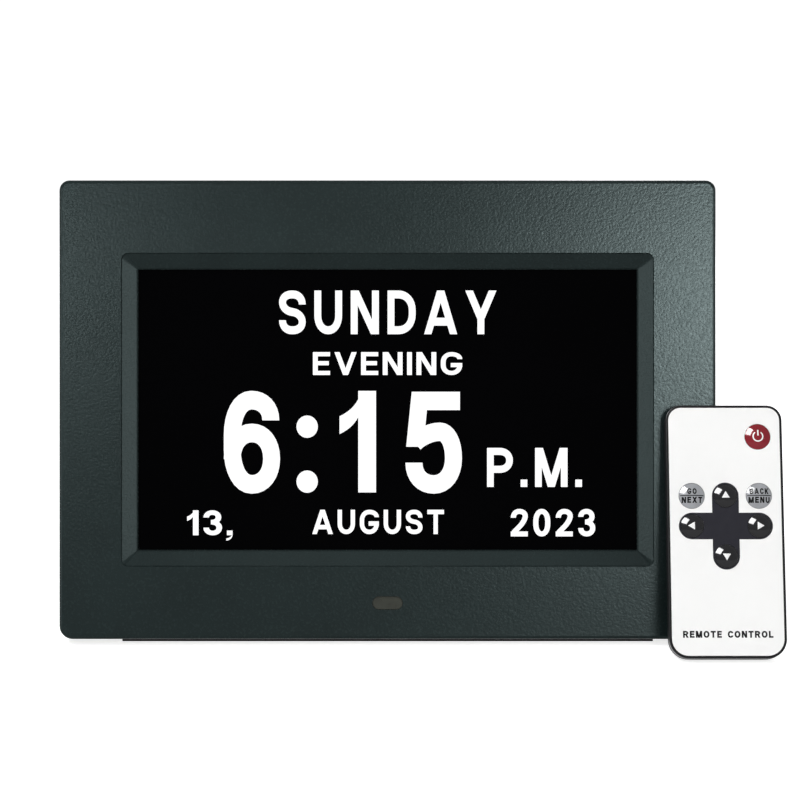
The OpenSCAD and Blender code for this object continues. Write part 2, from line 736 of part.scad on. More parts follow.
// Two rows of upright slots that let warm air out
module vents()
    for (at = [[-1, body_h - back_margin - 18], [1, back_margin + 12]], i = [0:vent_count - 1])
        translate([at[0] * (box_w / 2 - 14) - at[0] * i * vent_pitch, at[1]])
            layer(back_inside - 1, body_depth + 1) rotate(90) stadium(vent_h, vent_w);

module cover_screws()
    color(steel) stand_clock() for (p = cover_screw_places)
        translate([p[0], p[1], head_h - frame_depth]) screw(head_r, head_h - 0.02, 7);

// ---- leg ----

// Turns the folded leg out to where it stands
module open_leg()
    translate([0, hinge_y, -hinge_z]) rotate([leg_open, 0, 0]) children();

module leg() {
    half = leg_t / 2;
    tip_y = -(leg_len - leg_foot_len);
    pocket = 2.4;
    rim = 3;
    color(cover_black) stand_clock() open_leg() difference() {
        translate([0, 0, -half]) linear_extrude(leg_t) polygon([
            [-leg_w / 2, heel], [leg_w / 2, heel], [leg_w / 2, -8], [leg_tip_w / 2, tip_y],
            [-leg_tip_w / 2, tip_y], [-leg_w / 2, -8]]);
        rotate([0, 90, 0]) cylinder(r = pin_r + run_gap, h = leg_w + 1, center = true);
        // ribbed hollow on the side that faces the clock
        translate([0, 0, half - pocket]) linear_extrude(pocket + 1) difference() {
            polygon([[-leg_w / 2 + rim, -8], [leg_w / 2 - rim, -8],
                     [leg_tip_w / 2 - rim, tip_y + 8], [-leg_tip_w / 2 + rim, tip_y + 8]]);
            translate([-0.8, tip_y]) square([1.6, leg_len]);
            for (share = [1, 2]) translate([-leg_w, tip_y * share / 3 - 0.8]) square([2 * leg_w, 1.6]);
        }
        // finger dish near the tip
        translate([0, tip_y + 12, -half - 16.6]) sphere(18);
        // groove of the rubber foot
        translate([-17, tip_y - 1, -0.9]) cube([34, 3.6, 1.8]);
    }
}

module leg_pin()
    color(steel) stand_clock() translate([0, hinge_y, -hinge_z]) rotate([0, 90, 0])
        cylinder(r = pin_r, h = 2 * pin_half, center = true);

module leg_foot() {
    tip_y = -(leg_len - leg_foot_len);
    foot_w = leg_tip_w - 2;
    color(rubber_black) stand_clock() open_leg() {
        translate([0, -leg_len, 0]) rotate([0, 90, 0]) cylinder(r = leg_t / 2, h = foot_w, center = true);
        translate([-foot_w / 2, -leg_len, -leg_t / 2]) cube([foot_w, leg_foot_len - 0.05, leg_t]);
        translate([-16.5, tip_y - 0.5, -0.8]) cube([33, 2.9, 1.6]);
    }
}

// ---- boards ----

module main_board()
    color(board_green) stand_clock() difference() {
        translate([board_x, board_y]) layer(board_front, board_back - 0.02)
            square([board_w, board_h], center = true);
        for (x = [-board_hole_x, board_hole_x], y = [-board_hole_y, board_hole_y])
            translate([board_post(x), board_y + y]) layer(0, body_depth) circle(shank_r + 0.15);
    }

// Packages on the side of the board that faces the panel: x and y from its middle,
// width, height, thickness
module board_chips() {
    packages = [[10, 4, 14, 14, 1.4], [26, 20, 8, 5, 1.5], [-4, 24, 11, 5, 3],
                [-10, -8, 5, 4, 1.5], [28, -2, 6, 6, 2.8], [28, -14, 4.5, 3.5, 1.2]];
    color([0.07, 0.07, 0.08]) stand_clock() translate([board_x, board_y]) for (p = packages)
        translate([p[0], p[1]]) layer(board_front - p[4], board_front - 0.02) square([p[2], p[3]], center = true);
}

module board_capacitors() {
    cans = [[-29, -13], [-29, -5], [36, 8]];
    color([0.20, 0.22, 0.30]) stand_clock() translate([board_x, board_y]) for (p = cans) translate(p) {
        layer(board_front - can_len + 0.2, board_front - can_base) circle(can_r);
        layer(board_front - can_base - SLIP, board_front - 0.02) square(2 * can_r + 0.2, center = true);
    }
}

// Sockets for the ribbons and leads
module board_sockets() {
    bodies = [[-14, -19, 25, 4.5, 2], [12, 25, 13, 4.5, 2],
              [-37, -9, 5, 6, 3.6], [-37, 2, 5, 6, 3.6]];
    color([0.93, 0.92, 0.86]) stand_clock() translate([board_x, board_y])
        for (i = [0:len(bodies) - 1]) let (b = bodies[i])
        difference() {
            translate([b[0], b[1]]) layer(board_front - b[4], board_front - 0.02)
                square([b[2], b[3]], center = true);
            // mouth: across the ribbons, and inwards from the left for the leads
            if (i < 2) translate([b[0], b[1] + (i == 0 ? -1 : 1) * 2])
                layer(board_front - 1.5, board_front - 0.7) square([b[2] - 2, 4], center = true);
            else translate([b[0] - 2, b[1]])
                layer(board_front - 2.9, board_front - 0.7) square([4, 4.8], center = true);
        }
}

module board_screws()
    color(steel) stand_clock() {
        for (x = [-board_hole_x, board_hole_x], y = [-board_hole_y, board_hole_y])
            translate([board_post(x), board_y + y, -board_front + 0.02]) mirror([0, 0, 1])
                screw(small_head_r, small_head_h, 6);
        for (side = [-1, 1])
            translate([key_row_mid + side * key_post_x, key_row_y - 1, key_board_t - key_board_back + 0.02])
                mirror([0, 0, 1]) screw(small_head_r, small_head_h, 6);
    }

// Lithium cell that keeps the time through a power cut
module backup_cell()
    color([0.80, 0.80, 0.78]) stand_clock() translate([backup_x, backup_y]) {
        layer(board_front - backup_low - backup_t, board_front - backup_low) circle(backup_r);
        layer(board_front - backup_low - backup_t - 0.3, board_front - backup_low - backup_t + SLIP)
            circle(backup_r - 1.4);
    }

module backup_cell_clip()
    color([0.10, 0.10, 0.11]) stand_clock() translate([backup_x, backup_y]) difference() {
        layer(board_front - backup_low - backup_t + 0.5, board_front - 0.02) intersection() {
            circle(backup_r + 2);
            square([2 * backup_r + 4, 1.5 * backup_r], center = true);
        }
        layer(board_front - backup_low - backup_t - 2, board_front - backup_low + fit_gap) circle(backup_r + fit_gap);
    }

// ---- keys ----

module key_board()
    color(board_green) stand_clock() difference() {
        translate([key_row_mid, key_row_y - 0.5]) layer(key_board_back - key_board_t, key_board_back - 0.02)
            square([key_board_w, key_board_h], center = true);
        for (side = [-1, 1]) translate([key_row_mid + side * key_post_x, key_row_y - 1])
            layer(0, body_depth) circle(shank_r + 0.15);
    }

// Tact switches, with their buttons at the depth to which the keys press them
module key_switches()
    color([0.14, 0.14, 0.15]) stand_clock() for (i = [0:key_count - 1])
        translate([key_row_x + i * key_pitch, key_row_y]) {
            layer(key_board_back, key_board_back + switch_h) square(6, center = true);
            layer(key_board_back + switch_h - SLIP, switch_top) circle(1.7);
        }

module key_ribbon()
    color([0.85, 0.85, 0.82]) stand_clock() translate([key_ribbon_x, 0, 0])
        ribbon([[board_top - 8, board_front - 1.1], [board_top - 4, board_front - 1.1],
                [board_top + 1, board_front - 2.4], [key_board_low - 2.5, board_front - 2.4],
                [key_board_low + 1, key_board_back - key_board_t - 0.2],
                [key_board_low + 4.5, key_board_back - key_board_t - 0.2]], 10, 0.3);

// Round key cap with a shallow dome, a flange inside the cover and a stem
module clock_key(i)
    color([0.10, 0.10, 0.11]) stand_clock() translate([key_row_x + i * key_pitch, key_row_y, 0]) {
        layer(back_inside - 0.1 - key_flange_t, back_inside - 0.1) circle(key_flange_r);
        layer(back_inside - 0.1 - SLIP, body_depth + key_out - 0.5) circle(key_r);
        translate([0, 0, -body_depth - key_out + 0.5]) intersection() {
            translate([0, 0, dome_ball(key_r, 0.5) - 0.5]) sphere(dome_ball(key_r, 0.5));
            mirror([0, 0, 1]) translate([0, 0, -SLIP]) cylinder(r = key_r, h = 1);
        }
        layer(key_stem_end, back_inside - 0.1 - key_flange_t + SLIP) circle(key_stem_r);
    }

// Radius of the ball whose cap has this radius and height
function dome_ball(r, h) = (r * r + h * h) / (2 * h);

module key_power() clock_key(0);
module key_menu() clock_key(1);
module key_up() clock_key(2);
module key_down() clock_key(3);
module key_left() clock_key(4);
module key_right() clock_key(5);
module key_enter() clock_key(6);

// ---- speaker and power inlet ----

module speaker_basket()
    color([0.12, 0.12, 0.13]) stand_clock() translate([-speaker_x, speaker_y]) difference() {
        union() {
            layer(back_inside - 1, back_inside - 0.05) circle(speaker_r);
            layer(back_inside - basket_h, back_inside - 1 + SLIP) circle(speaker_r - 2);
        }
        layer(back_inside - basket_h + 0.8, body_depth) circle(speaker_r - 3);
    }

// Paper cone with its dust cap, turned in one piece
module speaker_cone()
    color([0.22, 0.20, 0.18]) stand_clock() translate([-speaker_x, speaker_y, 0])
        rotate_extrude() polygon([
            [0, -back_inside + 1.6], [4, -back_inside + 1.9], [speaker_r - 3.3, -back_inside + 0.6],
            [speaker_r - 3.3, -back_inside + 1], [5, -back_inside + 3.2], [0, -back_inside + 3.2]]);

module speaker_magnet()
    color([0.30, 0.31, 0.33]) stand_clock() translate([-speaker_x, speaker_y])
        layer(back_inside - basket_h - magnet_h, back_inside - basket_h - 0.02) circle(magnet_r);

// Two wires from the speaker to the main board
module speaker_leads()
    color([0.75, 0.10, 0.10]) stand_clock() for (i = [0, 1])
        lead([[1.1 - speaker_x + speaker_r - 1.5, speaker_y - 2 + 3 * i, -back_inside + basket_h + 0.2],
              [-speaker_x + speaker_r + 3, speaker_y - 2 + 3 * i, -back_inside + basket_h + 3],
              [-speaker_x + speaker_r + 10, speaker_y + 2 * i, -14.5],
              [-14, board_y + 1 + 2 * i, -12.5],
              [-4, board_y + 1 + 2 * i, -board_front + 1.8],
              [board_x - 39.2, board_y + 1 + 2 * i, -board_front + 1.8]], 0.6);

// Moulded socket, with the bore that the power plug goes into
module inlet_socket()
    color([0.07, 0.07, 0.08]) stand_clock() translate([inlet_wall_x, inlet_y, -inlet_z]) difference() {
        union() {
            translate([0.05, -inlet_body / 2, -inlet_body / 2]) cube([inlet_len, inlet_body, inlet_body]);
            rotate([0, 90, 0]) translate([0, 0, -wall]) cylinder(r = inlet_nose_r, h = wall + 1);
        }
        rotate([0, 90, 0]) translate([0, 0, -wall - 1]) cylinder(r = inlet_r, h = inlet_depth + 1);
        rotate([0, 90, 0]) cylinder(r = inlet_tail_r + 0.02, h = inlet_len + 1);
    }

module inlet_pin()
    color(steel) stand_clock() translate([inlet_wall_x, inlet_y, -inlet_z]) rotate([0, 90, 0]) {
        translate([0, 0, inlet_pin_r + 0.4 - wall]) {
            cylinder(r = inlet_pin_r, h = inlet_depth - inlet_pin_r - 0.45);
            sphere(inlet_pin_r);
            cylinder(r = inlet_tail_r, h = inlet_len + wall - inlet_pin_r - 0.4);
        }
    }

// Two wires from the inlet to the main board
module inlet_leads()
    color([0.10, 0.10, 0.12]) stand_clock() for (i = [0, 1])
        lead([[inlet_wall_x + inlet_len + 0.3, inlet_y - 1.6 + 3.2 * i, -inlet_z + 2.2],
              [inlet_wall_x + inlet_len + 6, inlet_y - 1.6 + 3.2 * i, -inlet_z + 3.2],
              [-speaker_x + 8, inlet_y + 2 + 3 * i, -13.2],
              [-20, board_y - 12 + 2 * i, -12.2],
              [-4, board_y - 10 + 2 * i, -board_front + 1.8],
              [board_x - 39.2, board_y - 10 + 2 * i, -board_front + 1.8]], 0.7);

// ---- remote control ----

module remote_outline(inset)
    translate([0, inset]) card(remote_w - 2 * inset, remote_h - 2 * inset,
        remote_top_r - inset, remote_bottom_r - inset);

// Cross of the four arrow keys
module cross_outline(grow) {
    translate([0, cross_y]) {
        stadium(2 * key_column_x + arm_w + 2 * grow, arm_w + 2 * grow);
        rotate(90) stadium(2 * cross_reach + arm_w + 2 * grow, arm_w + 2 * grow);
    }
}

module remote_case()
    color([0.06, 0.06, 0.07]) stand_remote() difference() {
        rounded_slab(remote_w, remote_h, remote_top_r, remote_bottom_r, remote_t, 0.3, remote_edge_r);
        layer(-1, plate_t + 0.02) remote_outline(remote_rim);
        layer(plate_t, remote_floor) remote_outline(remote_rim + ledge);
        // mouth of the battery tray
        translate([0, 3]) layer(tray_front - fit_gap, remote_floor)
            square([tray_w + 2 * fit_gap, 12], center = true);
        // hole of the lamp in the top end
        translate([0, remote_h, -led_z]) rotate([90, 0, 0]) cylinder(r = led_r + fit_gap, h = 8, center = true);
    }

module remote_face()
    color([0.95, 0.95, 0.94]) stand_remote() difference() {
        layer(0, plate_t) remote_outline(plate_inset);
        layer(-1, inlay_sink) cross_outline(0.05);
        for (k = remote_keys) translate([k[0], k[1]]) layer(-1, plate_t + 1) circle(k[2] + 0.15);
    }

// Glossy black inlay between the arrow keys
module remote_cross()
    color([0.05, 0.05, 0.06]) stand_remote() difference() {
        layer(-inlay_out, inlay_sink - 0.02) cross_outline(0);
        for (k = remote_keys) translate([k[0], k[1]]) layer(-1, plate_t + 1) circle(k[2] + 0.15);
    }

// Rubber mat that carries the keys
module remote_mat()
    color([0.55, 0.56, 0.58]) stand_remote() difference() {
        layer(plate_t + 0.05, mat_back) intersection() {
            remote_outline(remote_rim + ledge + 0.15);
            translate([-remote_w / 2, remote_board_low + contact_on_board + fit_gap]) square([remote_w, remote_h]);
        }
        for (k = remote_keys) translate([k[0], k[1]]) layer(0, remote_t) circle(k[2] + key_flange + 0.2);
        // notch round the lamp
        layer(0, remote_t) translate([-led_r - gap, remote_h - led_root - gap])
            square([2 * (led_r + gap), led_root + 1]);
    }

module remote_board()
    color(board_green) stand_remote() layer(remote_board_front, remote_board_front + remote_board_t)
        intersection() {
            remote_outline(remote_rim + ledge + 0.3);
            translate([-remote_w / 2, remote_board_low]) square([remote_w, remote_h - remote_board_low - led_root]);
        }

// Drop of black resin over the chip, and the resonator
module remote_chips() {
    back = remote_board_front + remote_board_t;
    color([0.05, 0.05, 0.05]) stand_remote() {
        translate([0, cross_y, -back]) intersection() {
            translate([0, 0, dome_ball(4.5, 1.2) - 1.2]) sphere(dome_ball(4.5, 1.2));
            translate([0, 0, -2]) cylinder(r = 6, h = 2 - 0.02);
        }
        translate([8, cross_y + 14]) layer(back + 0.02, back + 1.5) square([7, 3], center = true);
    }
}

// Infrared lamp in the top end
module remote_led()
    color([0.75, 0.78, 0.88]) stand_remote() translate([0, remote_h - led_root + fit_gap, -led_z])
        rotate([-90, 0, 0]) {
            cylinder(r = led_r, h = led_root - 1.8);
            translate([0, 0, led_root - 1.8]) sphere(led_r);
        }

// Two spring strips that reach from the board over the cell
module remote_contacts()
    color([0.85, 0.80, 0.60]) stand_remote() for (side = [-1, 1]) translate([side * 5, 0])
        layer(contact_back - contact_t, contact_back) translate([-1.5, remote_board_low - contact_over_cell])
            square([3, contact_over_cell + contact_on_board]);

module remote_tray()
    color([0.07, 0.07, 0.08]) stand_remote() difference() {
        layer(tray_front, remote_floor - fit_gap / 2) intersection() {
            translate([-tray_w / 2, 0.1]) square([tray_w, tray_len]);
            remote_outline(0.1);
        }
        translate([0, 1.4 + cell_r + fit_gap]) layer(tray_front - 1, remote_floor - fit_gap / 2 - 0.3)
            circle(cell_r + fit_gap);
        // grip groove in the end
        translate([0, 0, -tray_front]) rotate([0, 90, 0]) cylinder(r = 0.7, h = 10, center = true);
    }

module remote_cell()
    color(steel) stand_remote() translate([0, 1.4 + cell_r + fit_gap]) {
        layer(tray_front + 0.05, tray_front + 0.45) circle(cell_r - 1.3);
        layer(tray_front + 0.45 - SLIP, tray_front + cell_t) circle(cell_r);
    }

// Domed key with a flange under the face
module remote_key(i) {
    k = remote_keys[i];
    ball = dome_ball(k[2], dome_h);
    stand_remote() translate([k[0], k[1], 0]) {
        layer(0, plate_t + 0.1 + SLIP) circle(k[2]);
        intersection() {
            translate([0, 0, dome_h - ball]) sphere(ball);
            translate([0, 0, -SLIP]) cylinder(r = k[2], h = dome_h + 1);
        }
        layer(plate_t + 0.1, plate_t + 0.1 + remote_flange_t) circle(k[2] + key_flange);
        layer(plate_t + 0.1, remote_board_front - remote_travel - 0.1) circle(k[2] - 1);
    }
}

module remote_key_power() color([0.62, 0.10, 0.15]) remote_key(0);
module remote_key_enter() color([0.80, 0.81, 0.82]) remote_key(1);
module remote_key_setup() color([0.80, 0.81, 0.82]) remote_key(2);
module remote_key_up() color([0.12, 0.12, 0.14]) remote_key(3);
module remote_key_down() color([0.12, 0.12, 0.14]) remote_key(4);
module remote_key_left() color([0.12, 0.12, 0.14]) remote_key(5);
module remote_key_right() color([0.12, 0.12, 0.14]) remote_key(6);

front_frame();
sensor_window();
foot_strip();
panel_can();
panel_glass();
light_guide();
led_strip();
panel_brackets();
bracket_screws();
panel_ribbon();
sensor_board();
sensor_receiver();
sensor_screws();
rear_cover();
cover_screws();
leg();
leg_pin();
leg_foot();
main_board();
board_chips();
board_capacitors();
board_sockets();
board_screws();
backup_cell();
backup_cell_clip();
key_board();
key_switches();
key_ribbon();
key_power();
key_menu();
key_up();
key_down();
key_left();
key_right();
key_enter();
speaker_basket();
speaker_cone();
speaker_magnet();
speaker_leads();
inlet_socket();
inlet_pin();
inlet_leads();
remote_case();
remote_face();
remote_cross();
remote_mat();
remote_board();
remote_chips();
remote_led();
remote_contacts();
remote_tray();
remote_cell();
remote_key_power();
remote_key_enter();
remote_key_setup();
remote_key_up();
remote_key_down();
remote_key_left();
remote_key_right();
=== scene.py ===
import json
from math import cos, pi, radians, sin, sqrt

import bmesh
import bpy
from mathutils import Matrix, Vector
from mathutils.geometry import delaunay_2d_cdt


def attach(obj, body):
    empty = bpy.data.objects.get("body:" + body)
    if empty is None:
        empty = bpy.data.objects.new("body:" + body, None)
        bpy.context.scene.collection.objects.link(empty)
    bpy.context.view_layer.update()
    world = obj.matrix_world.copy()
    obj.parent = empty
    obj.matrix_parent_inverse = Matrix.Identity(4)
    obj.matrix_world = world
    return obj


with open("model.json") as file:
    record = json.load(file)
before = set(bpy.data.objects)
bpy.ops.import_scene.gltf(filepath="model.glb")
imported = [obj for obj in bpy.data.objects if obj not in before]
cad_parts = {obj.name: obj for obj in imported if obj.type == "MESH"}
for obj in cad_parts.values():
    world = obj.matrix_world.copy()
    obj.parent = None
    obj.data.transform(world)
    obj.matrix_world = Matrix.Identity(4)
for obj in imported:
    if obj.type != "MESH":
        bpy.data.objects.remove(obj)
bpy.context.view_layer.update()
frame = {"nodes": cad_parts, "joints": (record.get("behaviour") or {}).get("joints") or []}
MM = 0.001

# ---- Camera, table and lamps ----
# The clock leans back on its leg and is seen square on, through a long lens. The
# table is white and keeps a soft shadow. Each lamp has one task, such as a sheen on
# an end of the frame, or the softbox that every domed key mirrors.
joints = {joint["name"]: joint for joint in frame["joints"]}
RIGHT = Vector((1, 0, 0))
clock_out = Vector(joints["clock_key_power_press"]["axis"]).normalized()
clock_up = clock_out.cross(RIGHT)


def span(vertices, direction):
    """Lowest and highest reach of some vertices along a direction."""
    reach = [direction.dot(vertex.co) for vertex in vertices]
    return min(reach), max(reach)


def extent(node, direction):
    """Lowest and highest reach of a CAD node along a direction."""
    return span(frame["nodes"][node].data.vertices, direction)


def plane(origin, across, up):
    """Matrix of a drawing plane: X across it, Y up it, Z out of it."""
    matrix = Matrix((across, up, across.cross(up))).transposed().to_4x4()
    matrix.translation = origin
    return matrix


def face_point(node, up, out):
    """Middle of the face that a node turns towards out."""
    return (RIGHT * sum(extent(node, RIGHT)) / 2 + up * sum(extent(node, up)) / 2
            + out * extent(node, out)[1])


screen_plane = plane(face_point("panel_glass", clock_up, clock_out), RIGHT, clock_up)

LENS = 120
SENSOR = 36
PIXELS = 800
PIXELS_PER_METRE = 2907      # scale of the photograph at the clock's face
FACE_AHEAD = 4.6 * MM        # the face stands this far in front of the glass
VIEW_RIGHT = 4.3 * MM        # middle of the picture from the middle of the screen
VIEW_UP = 3.35 * MM

distance = PIXELS / PIXELS_PER_METRE * LENS / SENSOR
camera = bpy.data.objects.new("camera", bpy.data.cameras.new("camera"))
camera.data.lens = LENS
camera.data.sensor_width = SENSOR
camera.data.clip_start = 0.02
camera.data.clip_end = 100
camera.matrix_world = plane(
    screen_plane @ Vector((VIEW_RIGHT, VIEW_UP, FACE_AHEAD + distance)), RIGHT, clock_up)
bpy.context.scene.collection.objects.link(camera)
bpy.context.scene.camera = camera
bpy.context.scene.view_settings.view_transform = "Standard"


def sees_background(tree):
    """1 for camera, glossy and transmitted rays, so that metal and glass show the white too."""
    path = tree.nodes.new("ShaderNodeLightPath")
    total = None
    for ray in ("Is Camera Ray", "Is Glossy Ray", "Is Transmission Ray"):
        if total is None:
            total = path.outputs[ray]
            continue
        add = tree.nodes.new("ShaderNodeMath")
        add.operation = "MAXIMUM"
        tree.links.new(total, add.inputs[0])
        tree.links.new(path.outputs[ray], add.inputs[1])
        total = add.outputs[0]
    return total


WHITE = (1, 1, 1, 1)
ROOM_LIGHT = 0.33
world = bpy.data.worlds.new("white_room")
world.use_nodes = True
bpy.context.scene.world = world
room = world.node_tree.nodes["Background"]
room.inputs["Color"].default_value = WHITE
room.inputs["Strength"].default_value = ROOM_LIGHT
seen = world.node_tree.nodes.new("ShaderNodeBackground")
seen.inputs["Color"].default_value = WHITE
choose = world.node_tree.nodes.new("ShaderNodeMixShader")
world.node_tree.links.new(sees_background(world.node_tree), choose.inputs[0])
world.node_tree.links.new(room.outputs[0], choose.inputs[1])
world.node_tree.links.new(seen.outputs[0], choose.inputs[2])
world.node_tree.links.new(choose.outputs[0], world.node_tree.nodes["World Output"].inputs["Surface"])

TABLE_SIZE = 120
TABLE_GLOW = 0.76
TABLE_PAINT = (0.8, 0.8, 0.8, 1)
table_mesh = bmesh.new()
bmesh.ops.create_grid(table_mesh, x_segments=1, y_segments=1, size=TABLE_SIZE / 2)
table_data = bpy.data.meshes.new("table")
table_mesh.to_mesh(table_data)
table = bpy.data.objects.new("table", table_data)
bpy.context.scene.collection.objects.link(table)
white_table = bpy.data.materials.new("white_table")
white_table.use_nodes = True
tree = white_table.node_tree
paint = tree.nodes["Principled BSDF"]
paint.inputs["Base Color"].default_value = TABLE_PAINT
paint.inputs["Roughness"].default_value = 0.9
paint.inputs["Specular IOR Level"].default_value = 0.1
glow = tree.nodes.new("ShaderNodeEmission")
glow.inputs["Strength"].default_value = TABLE_GLOW
only_seen = tree.nodes.new("ShaderNodeMixShader")
both = tree.nodes.new("ShaderNodeAddShader")
dark = tree.nodes.new("ShaderNodeEmission")
dark.inputs["Strength"].default_value = 0
tree.links.new(sees_background(tree), only_seen.inputs[0])
tree.links.new(dark.outputs[0], only_seen.inputs[1])
tree.links.new(glow.outputs[0], only_seen.inputs[2])
tree.links.new(paint.outputs[0], both.inputs[0])
tree.links.new(only_seen.outputs[0], both.inputs[1])
tree.links.new(both.outputs[0], tree.nodes["Material Output"].inputs["Surface"])
table_data.materials.append(white_table)


def lamp(name, place, width, height, power, mirrored=True, lights=True, frame_is=None):
    """Soft rectangular lamp that shines on the screen. Its place is measured from
    the screen's middle: to the right, up the face, and out of it. A lamp that isn't
    mirrored gives no gloss, and one that doesn't light gives nothing else. Flags
    keep it on the black frame alone (INCLUDE), or off it (EXCLUDE)."""
    light = bpy.data.lights.new(name, "AREA")
    light.shape = "RECTANGLE"
    light.size = width
    light.size_y = height
    light.energy = power
    holder = bpy.data.objects.new(name, light)
    holder.location = screen_plane @ Vector(place)
    aim = screen_plane.translation - holder.location
    holder.rotation_euler = aim.to_track_quat("-Z", "Y").to_euler()
    holder.visible_glossy = mirrored
    holder.visible_diffuse = lights
    bpy.context.scene.collection.objects.link(holder)
    if frame_is:
        flags = bpy.data.collections.new(name + "_flags")
        flags.objects.link(frame["nodes"]["front_frame"])
        flags.collection_objects[0].light_linking.link_state = frame_is
        holder.light_linking.receiver_collection = flags


# Place, side and power of the square lamps that only gloss the black frame
FRAME_LAMPS = {
    "sheen_lamp": ((0.27, 0.06, 0.9), 0.18, 6),
    "left_sheen": ((-0.3, 0.1, 0.9), 0.15, 1.4),
    "low_sheen": ((0.24, -0.19, 0.9), 0.2, 0.5),
    "right_lamp": ((0.7, 0.03, 0.5), 0.4, 3.2),
    "left_lamp": ((-0.7, 0.03, 0.5), 0.4, 2.7),
    "top_lamp": ((0, 0.75, 0.5), 0.4, 0.9),
}
for name, (place, side, power) in FRAME_LAMPS.items():
    lamp(name, place, side, side, power, lights=False, frame_is="INCLUDE")
lamp("key_lamp", (-0.4, 0.6, 0.48), 0.28, 0.22, 2.6, mirrored=False)
lamp("fill_lamp", (0.1, 0.15, 0.9), 0.5, 0.5, 3.4, mirrored=False, frame_is="EXCLUDE")
lamp("softbox", (-0.44, 0.62, 0.44), 0.66, 0.56, 58, lights=False, frame_is="EXCLUDE")
lamp("back_lamp", (0.35, 0.6, -1), 0.5, 0.5, 4)


# ---- Front frame ----
# One moulding of black ABS in front, with a sunken bevel round the screen. The
# tool's spark-eroded skin gives it a fine matt grain all over.
def tone(red, green, blue):
    """Linear colour of a screen colour, 0 to 255."""
    return tuple(((c / 255 + 0.055) / 1.055) ** 2.4 if c > 10 else c / 255 / 12.92
                 for c in (red, green, blue)) + (1,)


def noise(tree, vector, scale, detail):
    """Value of a noise with this many waves per metre."""
    texture = tree.nodes.new("ShaderNodeTexNoise")
    texture.inputs["Scale"].default_value = scale
    texture.inputs["Detail"].default_value = detail
    tree.links.new(vector, texture.inputs["Vector"])
    return texture.outputs[0]


def ramp(tree, factor, low, high, start=0.3, end=0.7):
    """Colour that runs from low to high as factor runs from start to end."""
    node = tree.nodes.new("ShaderNodeValToRGB")
    node.color_ramp.elements[0].position = start
    node.color_ramp.elements[0].color = low
    node.color_ramp.elements[1].position = end
    node.color_ramp.elements[1].color = high
    tree.links.new(factor, node.inputs[0])
    return node.outputs[0]


def spread(tree, value, low, high):
    """Value from 0.25 to 0.75 mapped to low to high."""
    node = tree.nodes.new("ShaderNodeMapRange")
    node.inputs["From Min"].default_value = 0.25
    node.inputs["From Max"].default_value = 0.75
    node.inputs["To Min"].default_value = low
    node.inputs["To Max"].default_value = high
    tree.links.new(value, node.inputs["Value"])
    return node.outputs[0]


def shaded(colour, factor):
    """The colour made darker or lighter by a factor."""
    return tuple(c * factor for c in colour[:3]) + (1,)


GLOSS_SWING = 0.15           # share by which the grain changes the roughness


def surface(name, colour, roughness, grain, depth, clouds=0.1, cloud_scale=25, stretch=(1, 1, 1),
            **sockets):
    """Finish with soft clouds in its colour, and a grain that its colour, its gloss
    and its bump share. grain is a frequency per metre and depth its height in metres."""
    made = bpy.data.materials.new(name)
    made.use_nodes = True
    tree = made.node_tree
    shader = tree.nodes["Principled BSDF"]
    for socket, value in sockets.items():
        shader.inputs[socket.replace("_", " ")].default_value = value
    place = tree.nodes.new("ShaderNodeTexCoord")
    along = tree.nodes.new("ShaderNodeMapping")
    along.inputs["Scale"].default_value = stretch
    tree.links.new(place.outputs["Object"], along.inputs["Vector"])
    cloudy = noise(tree, along.outputs[0], cloud_scale, 3)
    grainy = noise(tree, along.outputs[0], grain, 2)
    speckled = tree.nodes.new("ShaderNodeMix")
    speckled.data_type = "RGBA"
    speckled.blend_type = "MULTIPLY"
    speckled.inputs["Factor"].default_value = 1
    tree.links.new(ramp(tree, cloudy, shaded(colour, 1 - clouds), shaded(colour, 1 + clouds)),
                   speckled.inputs["A"])
    tree.links.new(ramp(tree, grainy, shaded(WHITE, 1 - clouds / 2), WHITE), speckled.inputs["B"])
    tree.links.new(speckled.outputs["Result"], shader.inputs["Base Color"])
    smooth, dull = roughness * (1 - GLOSS_SWING), min(1, roughness * (1 + GLOSS_SWING))
    tree.links.new(spread(tree, grainy, smooth, dull), shader.inputs["Roughness"])
    bump = tree.nodes.new("ShaderNodeBump")
    bump.inputs["Distance"].default_value = depth
    tree.links.new(grainy, bump.inputs["Height"])
    tree.links.new(bump.outputs[0], shader.inputs["Normal"])
    return made


def dress(material, *nodes):
    """Gives CAD nodes their finish."""
    for node in nodes:
        frame["nodes"][node].data.materials.clear()
        frame["nodes"][node].data.materials.append(material)


frame_plastic = surface("frame_plastic", tone(25, 35, 35), 0.26, 1150, 0.00005, clouds=0.14,
                        cloud_scale=60, Specular_IOR_Level=0.125, Specular_Tint=(0.8, 1, 1, 1))
dress(frame_plastic, "front_frame")

# ---- Sensor window ----
# A plug of smoked, infrared-clear plastic in the slot below the screen, pressed in
# from behind.
smoked = surface("smoked_plastic", tone(58, 60, 54), 0.3, 900, 0.00001, clouds=0.2, cloud_scale=180,
                 Specular_IOR_Level=0.12)
dress(smoked, "sensor_window")

# ---- Foot strip ----
# A strip of black rubber, cut flat below and glued into a groove along the frame's
# lower edge at the back.
rubber = surface("foot_rubber", tone(34, 34, 36), 0.85, 2500, 0.00008, clouds=0.15,
                 Specular_IOR_Level=0.2)
dress(rubber, "foot_strip")

